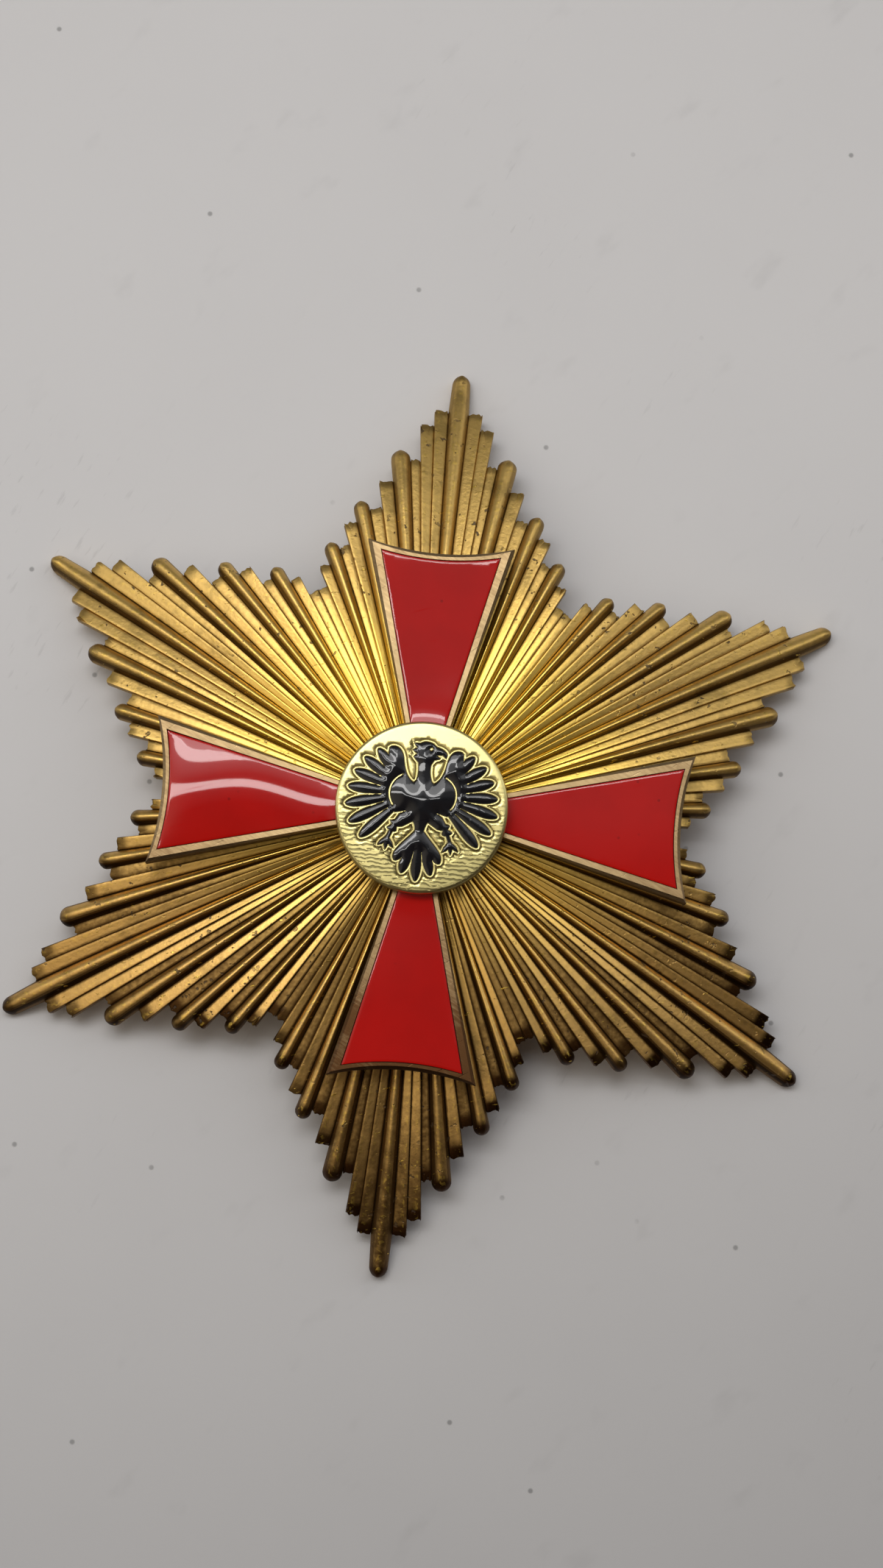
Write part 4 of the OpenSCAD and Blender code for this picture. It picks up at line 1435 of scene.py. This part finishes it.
class BREASTSTAR_OT_stage(Operator):
    """Makes the pale table, the soft lights and the camera"""
    bl_idname = "breaststar.stage"
    bl_label = "Stage"

    def execute(self, context):
        settings = context.scene.breaststar_stage
        self.table(settings)
        self.lights(context, settings)
        self.camera(context, settings)
        return {"FINISHED"}

    def table(self, settings):
        half = settings.floor_size / 2
        corners = [(x, y, -TABLE_DROP) for x, y in ((-half, -half), (half, -half), (half, half),
                                                    (-half, half))]
        mesh = bpy.data.meshes.new("table")
        mesh.from_pydata(corners, [], [(0, 1, 2, 3)])
        made = bpy.data.objects.new("table", mesh)
        bpy.context.scene.collection.objects.link(made)
        made.data.materials.append(table_top(settings))

    def lights(self, context, settings):
        world = bpy.data.worlds.new("room")
        world.use_nodes = True
        s = Shader(world.node_tree, place="Generated")
        side = s.towards(Vector(BRIGHT_SIDE).normalized()) * 0.5 + 0.5
        stops = [(place, [bright * (part if place < 0.5 else 1) for part in DARK_TINT])
                 for place, bright in ROOM_GLOW]
        glow = s.node("ShaderNodeValToRGB", {"stops": stops}, {0: side}, out="Color")
        west = s.towards(Vector(WEST_SIDE).normalized()).over(0.85, 0.98)
        background = s.node("ShaderNodeBackground", {},
                            {"Color": s.mix(west, glow, WEST_GLOW), "Strength": settings.sky})
        s.node("ShaderNodeOutputWorld", {}, {"Surface": background})
        context.scene.world = world
        self.panel("window", place=(-0.06, 0.185, 0.46), width=0.26, depth=0.08,
                   power=settings.window)
        self.panel("strip", place=(-0.11, 0.165, 0.58), width=0.39, depth=0.034,
                   power=settings.strip * NEAR_STRIP)
        self.panel("strip_two", place=(-0.1375, 0.079, 0.58), width=0.335, depth=0.024,
                   power=settings.strip * FAR_STRIP)

    def panel(self, name, place, width, depth, power):
        """A soft rectangular light that faces the star."""
        data = bpy.data.lights.new(name, "AREA")
        data.shape, data.size, data.size_y = "RECTANGLE", width, depth
        data.energy, data.color = power, LAMP_COLOUR
        made = bpy.data.objects.new(name, data)
        back = Vector(place).normalized()
        along = Vector((1, 0, 0)) - back * back.x
        turn = Matrix((along.normalized(), back.cross(along).normalized(), back)).transposed()
        made.matrix_world = Matrix.Translation(place) @ turn.to_4x4()
        made.visible_camera = False
        bpy.context.scene.collection.objects.link(made)

    def camera(self, context, settings):
        data = bpy.data.cameras.new("camera")
        data.lens, data.sensor_width = settings.focal, SENSOR_WIDTH
        data.clip_start, data.clip_end = 0.01, 20.0
        made = bpy.data.objects.new("camera", data)
        made.location = CAMERA_PLACE
        made.rotation_euler = [math.radians(turn) for turn in CAMERA_TURN]
        context.scene.collection.objects.link(made)
        context.scene.camera = made
        context.scene.view_settings.view_transform = "Standard"


class BREASTSTAR_OT_star(Operator):
    """Makes the domed star of rounded and flat rays"""
    bl_idname = "breaststar.star"
    bl_label = "Star"

    def execute(self, context):
        shape = StarMesh(context.scene.breaststar_star).build()
        values = {"groove": shape.groove, "edge": shape.edge}
        made = piece("rays", shape.points, shape.faces, values)
        dress(made, aged_gilt(context.scene.breaststar_finish), "aged_gilt", "star")
        return {"FINISHED"}


class BREASTSTAR_OT_cross(Operator):
    """Makes the cross's gilt frame with its four cells"""
    bl_idname = "breaststar.cross"
    bl_label = "Cross frame"

    def execute(self, context):
        scene = context.scene
        plan = CrossPlan(scene.breaststar_cross, scene.breaststar_medal)
        points, faces, groove = cross_mesh(scene.breaststar_cross, plan)
        made = piece("cross_border", points, faces, {"groove": groove}, 25.0)
        dress(made, pale_gilt(scene.breaststar_finish), "pale_gilt", "cross_frame")
        return {"FINISHED"}


class BREASTSTAR_OT_enamel(Operator):
    """Fills the four arms of the cross with red enamel"""
    bl_idname = "breaststar.enamel"
    bl_label = "Red enamel"

    def execute(self, context):
        scene = context.scene
        plan = CrossPlan(scene.breaststar_cross, scene.breaststar_medal)
        red = enamel("red_enamel", scene.breaststar_finish.red, 0.5)
        for name, degrees in ARMS:
            sizes = scene.breaststar_cross
            crown = mm(sizes.crown if name == "left" else sizes.low_crown)
            points, faces = enamel_mesh(sizes, plan, degrees, crown)
            made = piece("red_" + name, points, faces)
            dress(made, red, "red_enamel", "enamel_" + name)
        return {"FINISHED"}


class BREASTSTAR_OT_medallion(Operator):
    """Makes the gilt medallion with the raised lines, and the eagle in black enamel"""
    bl_idname = "breaststar.medallion"
    bl_label = "Medallion and eagle"

    def execute(self, context):
        scene = context.scene
        medal, look = scene.breaststar_medal, scene.breaststar_finish
        loops = [dense(loop, 0.16) for loop in eagle_loops(mm(medal.eagle_reach))]
        points, faces, values = medal_mesh(medal, loops)
        made = piece("medal", points, faces, values)
        dress(made, bright_gilt(look), "bright_gilt", "medallion")
        points, faces = eagle_mesh(medal, loops)
        made = piece("black_eagle", points, faces)
        dress(made, enamel("black_enamel", look.black, 0.2), "black_enamel", "eagle")
        return {"FINISHED"}


class BREASTSTAR_OT_pin(Operator):
    """Gives the brooch pin its dull brass"""
    bl_idname = "breaststar.pin"
    bl_label = "Brooch pin"

    def execute(self, context):
        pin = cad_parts["pin"]
        pin.data.materials.clear()
        pin.data.materials.append(pin_brass(context.scene.breaststar_finish))
        return {"FINISHED"}


STEPS = (BREASTSTAR_OT_stage, BREASTSTAR_OT_star, BREASTSTAR_OT_cross, BREASTSTAR_OT_enamel,
         BREASTSTAR_OT_medallion, BREASTSTAR_OT_pin)
GROUPS = (("breaststar_stage", StageSettings), ("breaststar_star", StarSizes),
          ("breaststar_cross", CrossSizes), ("breaststar_medal", MedalSizes),
          ("breaststar_finish", Finishes))


class BREASTSTAR_PT_parts(Panel):
    """Lists the pieces of the breast star"""
    bl_idname = "BREASTSTAR_PT_parts"
    bl_label = "Breast star"
    bl_space_type = "VIEW_3D"
    bl_region_type = "UI"
    bl_category = "Breast star"

    def draw(self, context):
        for step in STEPS:
            self.layout.operator(step.bl_idname)
        for key, group in GROUPS:
            box = self.layout.box()
            box.label(text=group.__name__)
            for name in group.__annotations__:
                box.prop(getattr(context.scene, key), name)


def register():
    for _, group in GROUPS:
        bpy.utils.register_class(group)
    for made in (*STEPS, BREASTSTAR_PT_parts):
        bpy.utils.register_class(made)
    for key, group in GROUPS:
        setattr(bpy.types.Scene, key, PointerProperty(type=group))


def unregister():
    for key, _ in GROUPS:
        delattr(bpy.types.Scene, key)
    for made in (BREASTSTAR_PT_parts, *reversed(STEPS)):
        bpy.utils.unregister_class(made)
    for _, group in reversed(GROUPS):
        bpy.utils.unregister_class(group)


def main():
    register()
    for step in STEPS:
        group, action = step.bl_idname.split(".")
        getattr(getattr(bpy.ops, group), action)()


if __name__ == "__main__":
    main()
